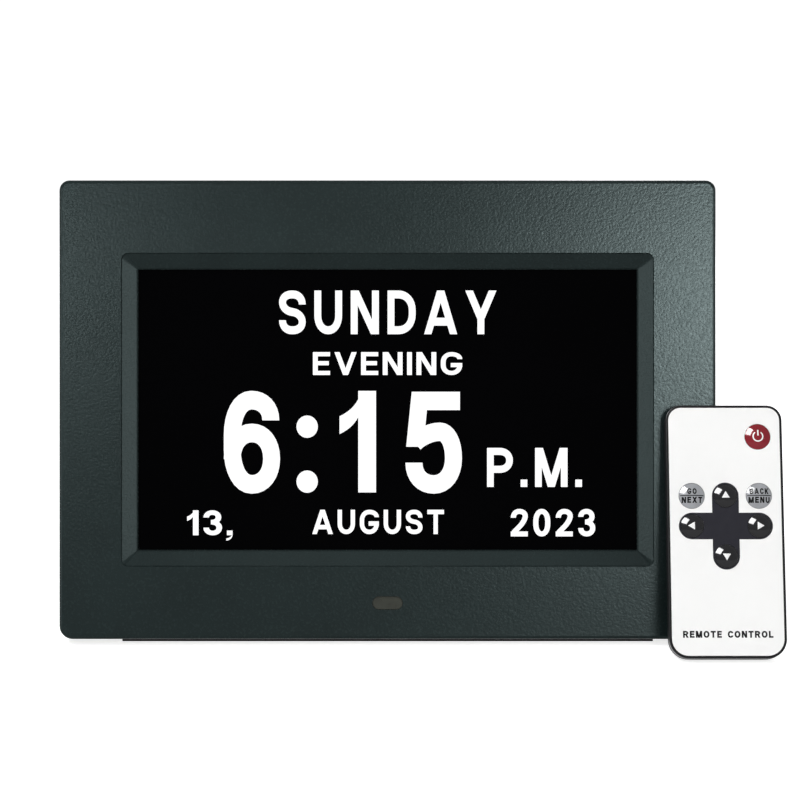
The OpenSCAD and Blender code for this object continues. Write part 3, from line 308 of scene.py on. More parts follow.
# ---- Display panel ----
# A standard wide panel: glass over a clear light guide, lit by a row of lamps along
# its lower edge, all held in a thin steel can that four screwed tabs press home.
glass = surface("screen_glass", tone(2, 2, 3), 0.05, 500, 0.0000001, clouds=0.3, cloud_scale=14,
                Specular_IOR_Level=0.01)
dress(glass, "panel_glass")
tin = surface("tin_plate", tone(190, 192, 196), 0.3, 1800, 0.000008, stretch=(0.06, 1, 1), Metallic=1)
dress(tin, "panel_can", "panel_brackets")
acrylic = surface("guide_acrylic", tone(232, 238, 244), 0.15, 2200, 0.00002, clouds=0.03,
                  Transmission_Weight=0.6, IOR=1.49)
dress(acrylic, "light_guide")
small_lamps = surface("lamp_strip", tone(238, 226, 150), 0.45, 700, 0.00002, clouds=0.12, cloud_scale=150,
                      Coat_Weight=0.4)
dress(small_lamps, "led_strip")
amber_film = surface("amber_film", tone(196, 128, 38), 0.3, 600, 0.00001, stretch=(8, 1, 1),
                     Coat_Weight=0.5)
dress(amber_film, "panel_ribbon")

# ---- Screws ----
# Zinc-plated self-tapping screws. Six hold the cover in the frame, and smaller ones
# hold the boards on their posts and the tabs of the panel.
zinc = surface("zinc_screws", tone(168, 170, 175), 0.32, 2600, 0.00001, clouds=0.15, cloud_scale=300,
               Metallic=1)
dress(zinc, "bracket_screws", "sensor_screws", "cover_screws", "board_screws")

# ---- What the screen shows ----
# Bold white letters on black: the weekday, the part of the day, the time, and the
# date along the bottom. Letters are drawn as strokes of one weight.
STROKE = 0.18                # weight of a stroke, as a share of the capitals' height
LETTER_GAP = 0.2             # gap between letters, as the same share
STEM = ("cap", 0, (0, 0), (0, 1))
FAR_STEM = ("cap", 0, (1, 0), (1, 1))
FOOT = ("cap", 0, (0, 0), (1, 0))
OVAL = [("butt", 0.36, (0.5, 1), (side, 1), (side, 0), (0.5, 0)) for side in (0, 1)]

# Each letter's width and its strokes. Points go from 0 to 1 across the letter and up
# it. Caps and butts start with the radius of their corners, and caps run on by half
# their weight. Leans are cut off level, and dots have a radius. Hooks have a depth,
# and a curve whose points are measured in heights of a capital.
GLYPHS = {
    " ": (0.45, []),
    ".": (STROKE, [("cap", 0, (0, 0), (0, 0.01))]),
    ",": (STROKE, [("cap", 0, (0, 0), (0, 0.01)),
                   ("hook", 0.09, (-0.02, -0.13), (0.16, -0.09), (STROKE, 0.09))]),
    ":": (0.22, [("dot", 0.11, (0.5, 0.02)), ("dot", 0.11, (0.5, 0.68))]),
    "A": (0.86, [("lean", (0, 0), (0.5, 1)), ("lean", (1, 0), (0.5, 1)),
                 ("butt", 0, (0.2, 0.24), (0.8, 0.24))]),
    "B": (0.72, [STEM, ("butt", 0.22, (0, 1), (0.92, 1), (0.92, 0.52), (0, 0.52)),
                 ("butt", 0.24, (0, 0.52), (1, 0.52), (1, 0), (0, 0))]),
    "C": (0.74, [("butt", 0.34, (1, 0.72), (1, 1), (0, 1), (0, 0), (1, 0), (1, 0.28))]),
    "D": (0.74, [STEM, ("butt", 0.36, (0, 1), (1, 1), (1, 0), (0, 0))]),
    "E": (0.64, [STEM, ("cap", 0, (0, 1), (1, 1)), ("cap", 0, (0, 0.52), (0.9, 0.52)), FOOT]),
    "G": (0.8, [("butt", 0.34, (1, 0.74), (1, 1), (0, 1), (0, 0), (1, 0), (1, 0.5)),
                ("cap", 0, (0.6, 0.42), (1, 0.42))]),
    "I": (STROKE, [STEM]),
    "K": (0.76, [STEM, ("lean", (0.05, 0.3), (0.95, 1)), ("lean", (1, 0), (0.34, 0.62))]),
    "L": (0.62, [STEM, FOOT]),
    "M": (0.88, [STEM, FAR_STEM, ("lean", (0.5, 0), (0.04, 1)), ("lean", (0.5, 0), (0.96, 1))]),
    "N": (0.74, [STEM, FAR_STEM, ("lean", (0.97, 0), (0.03, 1))]),
    "O": (0.8, OVAL),
    "P": (0.7, [STEM, ("butt", 0.26, (0, 1), (1, 1), (1, 0.44), (0, 0.44))]),
    "R": (0.75, [STEM, ("butt", 0.26, (0, 1), (0.94, 1), (0.94, 0.48), (0, 0.48)),
                 ("lean", (1, 0), (0.55, 0.48))]),
    "S": (0.7, [("butt", 0.24, (1, 0.72), (1, 1), (0, 1), (0, 0.56), (1, 0.46), (1, 0), (0, 0), (0, 0.28))]),
    "T": (0.7, [("cap", 0, (0, 1), (1, 1)), ("cap", 0, (0.5, 0), (0.5, 1))]),
    "U": (0.73, [("butt", 0.34, (0, 1.11), (0, 0), (1, 0), (1, 1.11))]),
    "V": (0.82, [("lean", (0.5, 0), (0, 1)), ("lean", (0.5, 0), (1, 1))]),
    "X": (0.8, [("lean", (0, 0), (1, 1)), ("lean", (1, 0), (0, 1))]),
    "Y": (0.8, [("lean", (0.5, 0.36), (0, 1)), ("lean", (0.5, 0.36), (1, 1)),
                ("cap", 0, (0.5, 0), (0.5, 0.4))]),
    "0": (0.6, OVAL),
    "1": (0.37, [FAR_STEM, ("hook", 0.175, (0, 0.75), (0.18, 0.83), (0.22, 1))]),
    "2": (0.6, [("butt", 0.3, (0, 0.72), (0, 1), (1, 1), (1, 0.58), (0.02, 0.06)), FOOT]),
    "3": (0.6, [("butt", 0.26, (0, 0.76), (0, 1), (0.94, 1), (0.94, 0.53), (0.36, 0.53)),
                ("butt", 0.27, (0.36, 0.53), (1, 0.53), (1, 0), (0, 0), (0, 0.26))]),
    "5": (0.6, [("cap", 0, (0.18, 1), (0.95, 1)), ("lean", (0.02, 0.46), (0.16, 1)),
                ("butt", 0.3, (0.02, 0.5), (0.3, 0.63), (1, 0.63), (1, 0), (0, 0), (0, 0.26))]),
    "6": (0.6, [("butt", 0.34, (0.98, 0.76), (0.98, 1), (0, 1), (0, 0), (0.5, 0)),
                ("butt", 0.3, (0.5, 0), (1, 0), (1, 0.61), (0, 0.61), (0, 0.3))]),
}
CURVE_STEPS = 8
CORNER_PULL = 0.58           # how far a rounded corner still reaches into the sharp one
CORNER_SHARE = 0.98          # most of a side's length that its corners may take
MITRE_LIMIT = 0.4            # least cosine by which a mitre is lengthened


def rounded_path(points, radius):
    """The polyline through points, with its inner corners rounded."""
    path = [points[0]]
    for before, corner, after in zip(points, points[1:], points[2:]):
        ends = []
        for other in (before, after):
            run = other - corner
            reach = run.length / (1 if other in (points[0], points[-1]) else 2)
            ends.append(corner + run.normalized() * min(radius, reach * CORNER_SHARE))
        start, end = ends
        first, second = start.lerp(corner, CORNER_PULL), end.lerp(corner, CORNER_PULL)
        for i in range(CURVE_STEPS + 1):
            t = i / CURVE_STEPS
            path.append((1 - t)**3 * start + 3 * t * (1 - t)**2 * first
                        + 3 * t * t * (1 - t) * second + t**3 * end)
    return path + [points[-1]]


def ribbon(path, weight):
    """Outline of a stroke of even weight along a path, anticlockwise."""
    sides = ([], [])
    for i, point in enumerate(path):
        run_in = (point - path[i - 1]).normalized() if i else (path[1] - point).normalized()
        run_out = (path[i + 1] - point).normalized() if i < len(path) - 1 else run_in
        mitre = (run_in + run_out).normalized()
        half = weight / 2 / max(MITRE_LIMIT, mitre.dot(run_in))
        normal = Vector((-mitre.y, mitre.x)) * half
        sides[0].append(point + normal)
        sides[1].append(point - normal)
    return sides[1] + sides[0][::-1]


def disc(centre, radius, sides=24):
    """Outline of a round dot."""
    turns = [2 * pi * i / sides for i in range(sides)]
    return [centre + Vector((radius * cos(turn), radius * sin(turn))) for turn in turns]


def glyph(letter, weight):
    """Width of a letter and the outlines of its strokes, for capitals one unit high."""
    width, strokes = GLYPHS[letter]
    low = weight / 2

    def inset(point):
        return Vector((low + point[0] * (width - weight), low + point[1] * (1 - weight)))

    outlines = []
    for stroke in strokes:
        if stroke[0] == "dot":
            outlines.append(disc(inset(stroke[2]), stroke[1]))
            continue
        if stroke[0] == "lean":
            (x0, y0), (x1, y1) = stroke[1:]
            start = Vector((inset((x0, 0)).x, y0))
            end = Vector((inset((x1, 0)).x, y1))
            half = Vector((low * (end - start).length / (y1 - y0), 0))
            outlines.append([start - half, start + half, end + half, end - half])
            continue
        if stroke[0] == "hook":
            start, bend, end = (Vector(point) for point in stroke[2:])
            shares = [i / CURVE_STEPS for i in range(CURVE_STEPS + 1)]
            top = [start.lerp(bend, t).lerp(bend.lerp(end, t), t) for t in shares]
            outlines.append([point - Vector((0, stroke[1])) for point in top] + top[::-1])
            continue
        path = [inset(point) for point in stroke[2:]]
        if stroke[0] == "cap":
            run = (path[-1] - path[0]).normalized() * low
            path = [path[0] - run, path[-1] + run]
        outlines.append(ribbon(rounded_path(path, stroke[1]), weight))
    return width, outlines


def words(text, left, right, base, height, weight=STROKE):
    """Outlines of a line of text that fills the width from left to right."""
    letters = [glyph(letter, weight) for letter in text]
    gaps = LETTER_GAP * height * (len(text) - 1)
    stretch = (right - left - gaps) / (height * sum(width for width, _ in letters))
    outlines, x = [], left
    for width, strokes in letters:
        for stroke in strokes:
            outlines.append([Vector((x + p.x * height * stretch, base + p.y * height)) for p in stroke])
        x += width * height * stretch + LETTER_GAP * height
    return outlines


def finely(outline, step):
    """The outline with more points on its long sides."""
    points = []
    for start, end in zip(outline, outline[1:] + outline[:1]):
        parts = max(1, round((end - start).length / step))
        points += [start.lerp(end, i / parts) for i in range(parts)]
    return points


KEEP_INSIDE = 1              # the triangulation keeps only what the outlines enclose
MERGE_WITHIN = 1e-7


def printed(name, outlines, thickness, place, material, body, dome=None, grid=None):
    """A thin raised layer from outlines that may overlap, such as letters. On a
    dome, given as its radius, height and middle, the layer follows the curve, with
    a point at least every grid."""
    corners, faces = [], []
    for outline in outlines:
        if dome:
            outline = finely(outline, grid)
        faces.append(list(range(len(corners), len(corners) + len(outline))))
        corners += outline
    if dome:
        reach = int(dome["radius"] / grid)
        corners += [dome["middle"] + Vector((i * grid, j * grid))
                    for i in range(-reach, reach + 1) for j in range(-reach, reach + 1)]
    points, _, triangles, _, _, source = delaunay_2d_cdt(corners, [], faces, KEEP_INSIDE, MERGE_WITHIN)
    mesh = bmesh.new()
    drawn = [mesh.verts.new((point.x, point.y, 0)) for point in points]
    for triangle, origin in zip(triangles, source):
        if origin:
            mesh.faces.new([drawn[i] for i in triangle])
    bmesh.ops.delete(mesh, geom=[v for v in drawn if not v.link_faces], context="VERTS")
    top = bmesh.ops.extrude_face_region(mesh, geom=mesh.faces[:])["geom"]
    raised = [v for v in top if isinstance(v, bmesh.types.BMVert)]
    bmesh.ops.translate(mesh, verts=raised, vec=(0, 0, thickness))
    if dome:
        ball = (dome["radius"]**2 + dome["height"]**2) / (2 * dome["height"])
        for vertex in mesh.verts:
            away = (Vector(vertex.co[:2]) - dome["middle"]).length
            vertex.co.z += sqrt(ball * ball - away * away) - ball + dome["height"]
    bmesh.ops.recalc_face_normals(mesh, faces=mesh.faces)
    mesh.transform(place)
    data = bpy.data.meshes.new(name)
    mesh.to_mesh(data)
    data.materials.append(material)
    piece = bpy.data.objects.new(name, data)
    bpy.context.scene.collection.objects.link(piece)
    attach(piece, body)
    return piece


SHOWN_RISE = 0.04 * MM
lit_white = surface("lit_white", tone(40, 40, 42), 0.5, 800, 0.0000004, clouds=0.05,
                    Emission_Color=WHITE, Emission_Strength=1)
# Text, left and right ends, base and height, in millimetres from the screen's middle
SHOWN = {
    "weekday": ("SUNDAY", -37.5, 37.5, 26.1, 15.1),
    "part_of_day": ("EVENING", -25.8, 25.8, 12, 7.9),
    "hour": ("6", -56.6, -37.2, -29, 35.5),
    "colon": (":", -31.5, -24.1, -28.6, 35.1),
    "tens_of_minutes": ("1", -16.6, -4, -28.6, 35.1),
    "minutes": ("5", 6.2, 25.7, -29, 35.2),
    "half_of_day": ("P.M.", 34.4, 67.2, -26.7, 13.5),
    "day_of_month": ("13,", -69.3, -53.6, -43.4, 8.6),
    "month": ("AUGUST", -26, 19.5, -43, 8.4),
    "year": ("2023", 42.6, 71.8, -43.8, 9.5),
}
for name, (text, left, right, base, height) in SHOWN.items():
    line = words(text, left * MM, right * MM, base * MM, height * MM)
    letters = printed("shown_" + name, line, SHOWN_RISE, screen_plane, lit_white, "clock")

# ---- Painted shade round the sensor window ----
# A thin near-black ring laid on the window's face along its edge. It is painted
# shade, standing in for the shadow of the slot's wall round the recessed window.
def arc_band(centre, radius, weight, start, end, steps=24):
    """Outline of part of a ring, between two angles in degrees."""
    turns = [radians(start + (end - start) * i / steps) for i in range(steps + 1)]
    outer = [centre + Vector((cos(t), sin(t))) * (radius + weight / 2) for t in turns]
    inner = [centre + Vector((cos(t), sin(t))) * (radius - weight / 2) for t in turns]
    return outer + inner[::-1]


def bar(start, end, weight):
    """Outline of a straight stroke."""
    return ribbon([Vector(start), Vector(end)], weight)


SHADE_RIM_WEIGHT = 0.45 * MM
SHADE_RIM_RISE = 0.03 * MM
window_plane = plane(face_point("sensor_window", clock_up, clock_out), RIGHT, clock_up)
window_low, window_high = extent("sensor_window", clock_up)
window_r = (window_high - window_low - SHADE_RIM_WEIGHT) / 2
window_half = extent("sensor_window", RIGHT)[1] - SHADE_RIM_WEIGHT / 2 - window_r
# Painted shade: this near-black ring stands in for the slot wall's shadow on the window
painted_shade_black = surface("painted_shade_black", tone(14, 16, 16), 0.6, 1500, 0.00002, Specular_IOR_Level=0.1)
rim = [bar((-window_half, rise), (window_half, rise), SHADE_RIM_WEIGHT) for rise in (-window_r, window_r)]
rim += [arc_band(Vector((side * window_half, 0)), window_r, SHADE_RIM_WEIGHT, turn, turn + 180)
        for side, turn in ((1, -90), (-1, 90))]
window_shade_rim = printed("window_painted_shade", rim, SHADE_RIM_RISE, window_plane, painted_shade_black, "clock")

# ---- Sensor board ----
# A small board on two posts behind the window, with a moulded infrared receiver.
# All the boards are glass-fibre sheets under a green solder mask.
solder_mask = surface("solder_mask", tone(22, 92, 56), 0.3, 900, 0.00003, clouds=0.25, cloud_scale=240,
                      Coat_Weight=0.4)
dress(solder_mask, "sensor_board", "main_board", "key_board", "remote_board")
resin = surface("chip_resin", tone(38, 38, 41), 0.5, 2400, 0.00002, cloud_scale=300)
dress(resin, "sensor_receiver", "board_chips", "remote_chips")

# ---- Rear cover ----
# The back moulding: a flange that six screws hold in the frame, and a raised box
# with keyholes, vents and sound slots.
cover_plastic = surface("cover_plastic", tone(40, 44, 45), 0.6, 1400, 0.00008, clouds=0.14,
                        cloud_scale=60, Specular_IOR_Level=0.3)
dress(cover_plastic, "rear_cover")


# ---- Signs over the keys ----
# Plain signs for power, menu, four directions and enter, pad printed in pale ink on
# the cover above the keys.
def arrowhead(centre, size, heading):
    """Triangle that points along heading, in degrees from X."""
    corners = [radians(heading + turn) for turn in (0, 120, 240)]
    return [centre + Vector((cos(t), sin(t))) * size for t in corners]


def ringed(centre, radius, weight):
    """Two half rings that make a whole one."""
    return [arc_band(centre, radius, weight, 0, 180), arc_band(centre, radius, weight, 180, 360)]


POWER_WEIGHT = 0.27          # weight of the power sign's lines, as a share of its ring's radius
POWER_OPENING = 35           # half the ring's opening at its top, in degrees
POWER_BAR = (0.15, 1.35)     # ends of the bar above the ring's middle, as the same share


def power_symbol(centre, size):
    """Open ring of this radius with a bar in its gap."""
    weight = size * POWER_WEIGHT
    low, high = (centre + Vector((0, size * rise)) for rise in POWER_BAR)
    return [arc_band(centre, size, weight, 90 + POWER_OPENING, 450 - POWER_OPENING),
            bar(low, high, weight)]


def key_symbols(centre, size):
    """Outlines for each key's symbol, by the key's name."""
    half, rises, line = size * 0.8, (-size * 0.6, 0, size * 0.6), size * 0.25
    return {
        "power": power_symbol(centre, size * 0.85),
        "menu": [bar(centre + Vector((-half, rise)), centre + Vector((half, rise)), line)
                 for rise in rises],
        "up": [arrowhead(centre, size, 90)],
        "down": [arrowhead(centre, size, 270)],
        "left": [arrowhead(centre, size, 180)],
        "right": [arrowhead(centre, size, 0)],
        "enter": ringed(centre, size * 0.75, line),
    }


CLOCK_KEYS = ("power", "menu", "up", "down", "left", "right", "enter")
SYMBOL_SIZE = 1.9 * MM
SYMBOL_RISE = 7 * MM         # from a key's middle up to its symbol
PAD_PRINT = 0.05 * MM
pale_ink = surface("pale_ink", tone(176, 178, 178), 0.55, 1800, 0.00001, clouds=0.12,
                   cloud_scale=300)
back_plane = plane(face_point("rear_cover", clock_up, -clock_out), -RIGHT, clock_up)
for name in CLOCK_KEYS:
    over_key = face_point("key_" + name, clock_up, -clock_out) + clock_up * SYMBOL_RISE
    place = (back_plane.inverted() @ over_key).to_2d()
    drawing = key_symbols(place, SYMBOL_SIZE)[name]
    symbol = printed("cover_symbol_" + name, drawing, PAD_PRINT, back_plane, pale_ink, "clock")

# ---- Mark of the power inlet ----
# The voltage and the polarity of the plug, pad printed on the cover beside the inlet
# in the same pale ink: a ringed minus and plus, joined through a dot in an open ring.
MARK_LINE = 0.28 * MM
MARK_R = 0.95 * MM
MARK_PITCH = 3.3 * MM        # from the middle ring to either end
MARK_OPENING = 50            # half the middle ring's opening, in degrees
MARK_DOT = MARK_R * 0.4
VOLTAGE_HALF = 2 * MM        # half the width of the voltage
VOLTAGE_RISE = 2 * MM        # from the rings' middle up to its base
VOLTAGE_HEIGHT = 2.2 * MM
beside_inlet = (back_plane.inverted() @ face_point("inlet_socket", clock_up, -clock_out)).to_2d()
minus, plus = (beside_inlet + Vector((side * MARK_PITCH, 0)) for side in (-1, 1))
arm = Vector((MARK_R * 0.55, 0))
mark = ringed(minus, MARK_R, MARK_LINE) + ringed(plus, MARK_R, MARK_LINE)
mark += [bar(minus - arm, minus + arm, MARK_LINE), bar(plus - arm, plus + arm, MARK_LINE),
         bar(plus - arm.yx, plus + arm.yx, MARK_LINE), disc(beside_inlet, MARK_DOT),
         arc_band(beside_inlet, MARK_R, MARK_LINE, MARK_OPENING, 360 - MARK_OPENING),
         bar(beside_inlet, plus - Vector((MARK_R, 0)), MARK_LINE),
         bar(minus + Vector((MARK_R, 0)), beside_inlet - Vector((MARK_R, 0)), MARK_LINE)]
for outline in words("5V", -VOLTAGE_HALF, VOLTAGE_HALF, VOLTAGE_RISE, VOLTAGE_HEIGHT):
    mark.append([point + beside_inlet for point in outline])
inlet_mark = printed("inlet_mark", mark, PAD_PRINT, back_plane, pale_ink, "clock")

# ---- Leg ----
# A ribbed moulding of the cover's plastic, with a grip of five low ribs near its tip.
# It turns on a steel pin and ends in a rubber foot.
dress(cover_plastic, "leg")
dress(rubber, "leg_foot")
ROD_SIDES = 12


def row_tree(name):
    """Geometry Nodes tree: a row of like bars along Y, each a straight rounded rod
    along X, from its inputs Count, Pitch, Length and Radius."""
    tree = bpy.data.node_groups.new(name, "GeometryNodeTree")
    for label, kind, default in (("Count", "NodeSocketInt", 2), ("Pitch", "NodeSocketFloat", MM),
                                 ("Length", "NodeSocketFloat", MM), ("Radius", "NodeSocketFloat", MM),
                                 ("Finish", "NodeSocketMaterial", None)):
        socket = tree.interface.new_socket(label, in_out="INPUT", socket_type=kind)
        if default is not None:
            socket.default_value = default
    tree.interface.new_socket("Geometry", in_out="OUTPUT", socket_type="NodeSocketGeometry")
    sizes = tree.nodes.new("NodeGroupInput").outputs
    points = tree.nodes.new("GeometryNodeMeshLine")
    step = tree.nodes.new("ShaderNodeCombineXYZ")
    tree.links.new(sizes["Count"], points.inputs["Count"])
    tree.links.new(sizes["Pitch"], step.inputs["Y"])
    tree.links.new(step.outputs[0], points.inputs["Offset"])
    start, end = (tree.nodes.new("ShaderNodeCombineXYZ") for _ in range(2))
    for vector, share in ((start, -0.5), (end, 0.5)):
        part = tree.nodes.new("ShaderNodeMath")
        part.operation = "MULTIPLY"
        part.inputs[1].default_value = share
        tree.links.new(sizes["Length"], part.inputs[0])
        tree.links.new(part.outputs[0], vector.inputs["X"])
    spine = tree.nodes.new("GeometryNodeCurvePrimitiveLine")
    tree.links.new(start.outputs[0], spine.inputs["Start"])
    tree.links.new(end.outputs[0], spine.inputs["End"])
    section = tree.nodes.new("GeometryNodeCurvePrimitiveCircle")
    section.inputs["Resolution"].default_value = ROD_SIDES
    tree.links.new(sizes["Radius"], section.inputs["Radius"])
    rod = tree.nodes.new("GeometryNodeCurveToMesh")
    rod.inputs["Fill Caps"].default_value = True
    tree.links.new(spine.outputs[0], rod.inputs["Curve"])
    tree.links.new(section.outputs[0], rod.inputs["Profile Curve"])
    place = tree.nodes.new("GeometryNodeInstanceOnPoints")
    tree.links.new(points.outputs[0], place.inputs["Points"])
    tree.links.new(rod.outputs[0], place.inputs["Instance"])
    real = tree.nodes.new("GeometryNodeRealizeInstances")
    tree.links.new(place.outputs[0], real.inputs[0])
    finish = tree.nodes.new("GeometryNodeSetMaterial")
    tree.links.new(real.outputs[0], finish.inputs["Geometry"])
    tree.links.new(sizes["Finish"], finish.inputs["Material"])
    tree.links.new(finish.outputs[0], tree.nodes.new("NodeGroupOutput").inputs[0])
    return tree


def grown(name, tree, place, body, slot, **inputs):
    """Plain mesh of a tree's result with these inputs, put in its place."""
    seed = bpy.data.objects.new(name + "_seed", bpy.data.meshes.new(name + "_seed"))
    bpy.context.scene.collection.objects.link(seed)
    modifier = seed.modifiers.new("row", "NODES")
    modifier.node_group = tree
    for socket in tree.interface.items_tree:
        if socket.in_out == "INPUT":
            modifier[socket.identifier] = inputs[socket.name]
    graph = bpy.context.evaluated_depsgraph_get()
    data = bpy.data.meshes.new_from_object(seed.evaluated_get(graph), depsgraph=graph)
    data.name = name
    data.transform(place)
    bpy.data.objects.remove(seed)
    piece = bpy.data.objects.new(name, data)
    bpy.context.scene.collection.objects.link(piece)
    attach(piece, body)
    return piece


GRIP_RIBS = 5
GRIP_PITCH = 2 * MM
GRIP_LENGTH = 22 * MM
GRIP_RADIUS = 0.5 * MM
GRIP_FROM_TIP = 25 * MM      # lowest rib from the leg's tip
LEG_ANGLE = radians(24)      # the open leg stands this far out of the clock's plane
leg_along = Matrix.Rotation(LEG_ANGLE, 3, RIGHT) @ clock_up
leg_out = leg_along.cross(RIGHT)
leg_face = plane(leg_along * (extent("leg", leg_along)[0] + GRIP_FROM_TIP)
                 + leg_out * (extent("leg", leg_out)[1] - GRIP_RADIUS / 2), RIGHT, leg_along)
rows = row_tree("row_of_rods")
grown("leg_grip", rows, leg_face, "leg", "cover_plastic", Count=GRIP_RIBS, Pitch=GRIP_PITCH,
      Length=GRIP_LENGTH, Radius=GRIP_RADIUS, Finish=cover_plastic)
bright_steel = surface("bright_steel", tone(205, 206, 210), 0.16, 3000, 0.000004,
                       stretch=(0.1, 1, 1), Metallic=1)
dress(bright_steel, "leg_pin", "inlet_pin")

# ---- Main board ----
# A green board on four posts of the cover, its parts turned towards the panel:
# capacitors in metal cans, cream sockets, and a coin cell in a black clip.
can_metal = surface("capacitor_can", tone(176, 180, 190), 0.35, 1500, 0.00001, Metallic=0.9)
dress(can_metal, "board_capacitors")
cream = surface("cream_nylon", tone(236, 232, 218), 0.5, 1500, 0.00002, clouds=0.05)
dress(cream, "board_sockets")
cell_steel = surface("cell_steel", tone(178, 180, 178), 0.32, 1500, 0.000004, stretch=(1, 0.1, 1),
                     Metallic=1)
dress(cell_steel, "backup_cell", "remote_cell")
black_nylon = surface("black_nylon", tone(40, 40, 43), 0.5, 1600, 0.00004, clouds=0.12)
dress(black_nylon, "backup_cell_clip", "key_switches", "inlet_socket", "speaker_basket")

# ---- Pins of the chips ----
# Rows of tinned legs along two sides of each chip, and along all four of the square
# one, soldered flat to the board.
SAME_POINT = 0.001 * MM


def loose_parts(node, axes):
    """Reach of each separate solid of a node along each of the axes."""
    mesh = bmesh.new()
    mesh.from_mesh(frame["nodes"][node].data)
    bmesh.ops.remove_doubles(mesh, verts=mesh.verts, dist=SAME_POINT)
    waiting, parts = set(mesh.verts), []
    while waiting:
        part = [waiting.pop()]
        for vertex in part:
            near = {edge.other_vert(vertex) for edge in vertex.link_edges} & waiting
            waiting -= near
            part += near
        parts.append([span(part, axis) for axis in axes])
    mesh.free()
    return sorted(parts)


PIN_PITCH = 1.27 * MM
PIN_REACH = 0.9 * MM
PIN_RADIUS = 0.2 * MM
SQUARE_CHIP = 12 * MM        # a chip as long as this has pins on all sides
chips = loose_parts("board_chips", (RIGHT, clock_up, clock_out))
for number, (across, up, out) in enumerate(chips, 1):
    middle = RIGHT * sum(across) / 2 + clock_up * sum(up) / 2 + clock_out * (out[0] + PIN_RADIUS)
    wide, tall = across[1] - across[0], up[1] - up[0]
    for side, length, width, beside, along in (("ends", tall, wide, RIGHT, clock_up),
                                               ("sides", wide, tall, -clock_up, RIGHT)):
        if side == "sides" and length < SQUARE_CHIP:
            continue
        count = int((length - PIN_PITCH) / PIN_PITCH) + 1
        first = middle - along * (count - 1) / 2 * PIN_PITCH
        grown("chip_%d_pins_%s" % (number, side), rows, plane(first, beside, along), "clock", "panel_steel",
              Count=count, Pitch=PIN_PITCH, Length=width + 2 * PIN_REACH, Radius=PIN_RADIUS, Finish=tin)

# ---- Keys of the clock ----
# Seven round caps of black plastic in a row of holes in the cover. Each presses a
# tact switch on the key board, which a flat ribbon cable joins to the main board.
key_plastic = surface("key_plastic", tone(38, 39, 41), 0.42, 2600, 0.00003)
dress(key_plastic, *("key_" + name for name in CLOCK_KEYS))
grey_film = surface("grey_film", tone(206, 206, 200), 0.35, 700, 0.00001, stretch=(10, 1, 1))
dress(grey_film, "key_ribbon")

# ---- Speaker and wires ----
# A small speaker with a paper cone and a ferrite magnet sits behind the sound slots.
# Its red leads, and the inlet's black ones, run to the main board.
paper = surface("cone_paper", tone(62, 57, 52), 0.9, 1800, 0.0001, clouds=0.2, cloud_scale=200)
dress(paper, "speaker_cone")
ferrite = surface("magnet_ferrite", tone(92, 94, 98), 0.45, 1500, 0.00003, Metallic=0.6)
dress(ferrite, "speaker_magnet")
red_wire = surface("red_wire", tone(176, 30, 30), 0.4, 1200, 0.00001)
dress(red_wire, "speaker_leads")
black_wire = surface("black_wire", tone(34, 34, 37), 0.4, 1200, 0.00001)
dress(black_wire, "inlet_leads")

# ---- Remote control ----
# A thin black case under a glossy white face film, with a black inlay for the arrow
# keys. Beneath are a rubber mat, a board, an infrared lamp and brass contacts.
case_black = surface("remote_case_black", tone(18, 18, 20), 0.35, 1600, 0.00001,
                     Specular_IOR_Level=0.12)
dress(case_black, "remote_case", "remote_tray")
white_film = surface("white_film", tone(246, 246, 245), 0.22, 320, 0.000006, clouds=0.015,
                     Coat_Weight=0.3)
dress(white_film, "remote_face")
inlay_black = surface("inlay_black", tone(36, 36, 43), 0.35, 500, 0.0000001, clouds=0.06,
                      Specular_IOR_Level=0.1)
dress(inlay_black, "remote_cross")
silicone = surface("mat_silicone", tone(140, 142, 146), 0.7, 1200, 0.00003)
dress(silicone, "remote_mat")
clear_resin = surface("lamp_resin", tone(206, 212, 236), 0.08, 400, 0.000002,
                      Transmission_Weight=0.7, IOR=1.5)
dress(clear_resin, "remote_led")
spring_brass = surface("spring_brass", tone(216, 190, 118), 0.25, 2000, 0.000008,
                       stretch=(1, 0.1, 1), Metallic=1)
dress(spring_brass, "remote_contacts")
DOMES = {
    "dome_red": (tone(130, 14, 30), ["power"]),
    "dome_grey": (tone(158, 160, 164), ["enter", "setup"]),
    "dome_black": (tone(17, 17, 21), ["up", "down", "left", "right"]),
}
for name, (colour, keys) in DOMES.items():
    film = surface(name, colour, 0.12, 500, 0.000002, clouds=0.08, cloud_scale=220,
                   Specular_IOR_Level=0.15, Coat_Weight=0.2)
    dress(film, *("remote_key_" + key for key in keys))

# ---- Legends of the remote ----
# White and black inks printed on the keys before they were pressed to domes: arrows,
# the power symbol, and two pairs of plain words, each pair split by a line.
ROUND_KEY_RADIUS = 4.3 * MM
ARROW_KEY_RADIUS = 3.9 * MM
DOME_HEIGHT = 1.3 * MM
ARROW_SIZE = 1.55 * MM
POWER_SIZE = 1.65 * MM
INK = 0.03 * MM
LEGEND_GRID = 0.45 * MM
remote_out = -Vector(joints["remote_key_power_press"]["axis"]).normalized()
remote_up = remote_out.cross(RIGHT)
remote_plane = plane(face_point("remote_face", remote_up, remote_out), RIGHT, remote_up)
white_ink = surface("white_ink", tone(240, 240, 240), 0.4, 700, 0.000001, clouds=0.03)
black_ink = surface("black_ink", tone(10, 10, 12), 0.5, 700, 0.000001, clouds=0.06,
                    Specular_IOR_Level=0.1)


def legend(key, outlines, radius, ink):
    """Ink on a domed key. The outlines are drawn from the key's middle."""
    body = "remote_key_" + key
    middle = (remote_plane.inverted() @ face_point(body, remote_up, remote_out)).to_2d()
    moved = [[point + middle for point in outline] for outline in outlines]
    dome = {"radius": radius, "height": DOME_HEIGHT, "middle": middle}
    print_ = printed("legend_" + key, moved, INK, remote_plane, ink, body, dome, LEGEND_GRID)


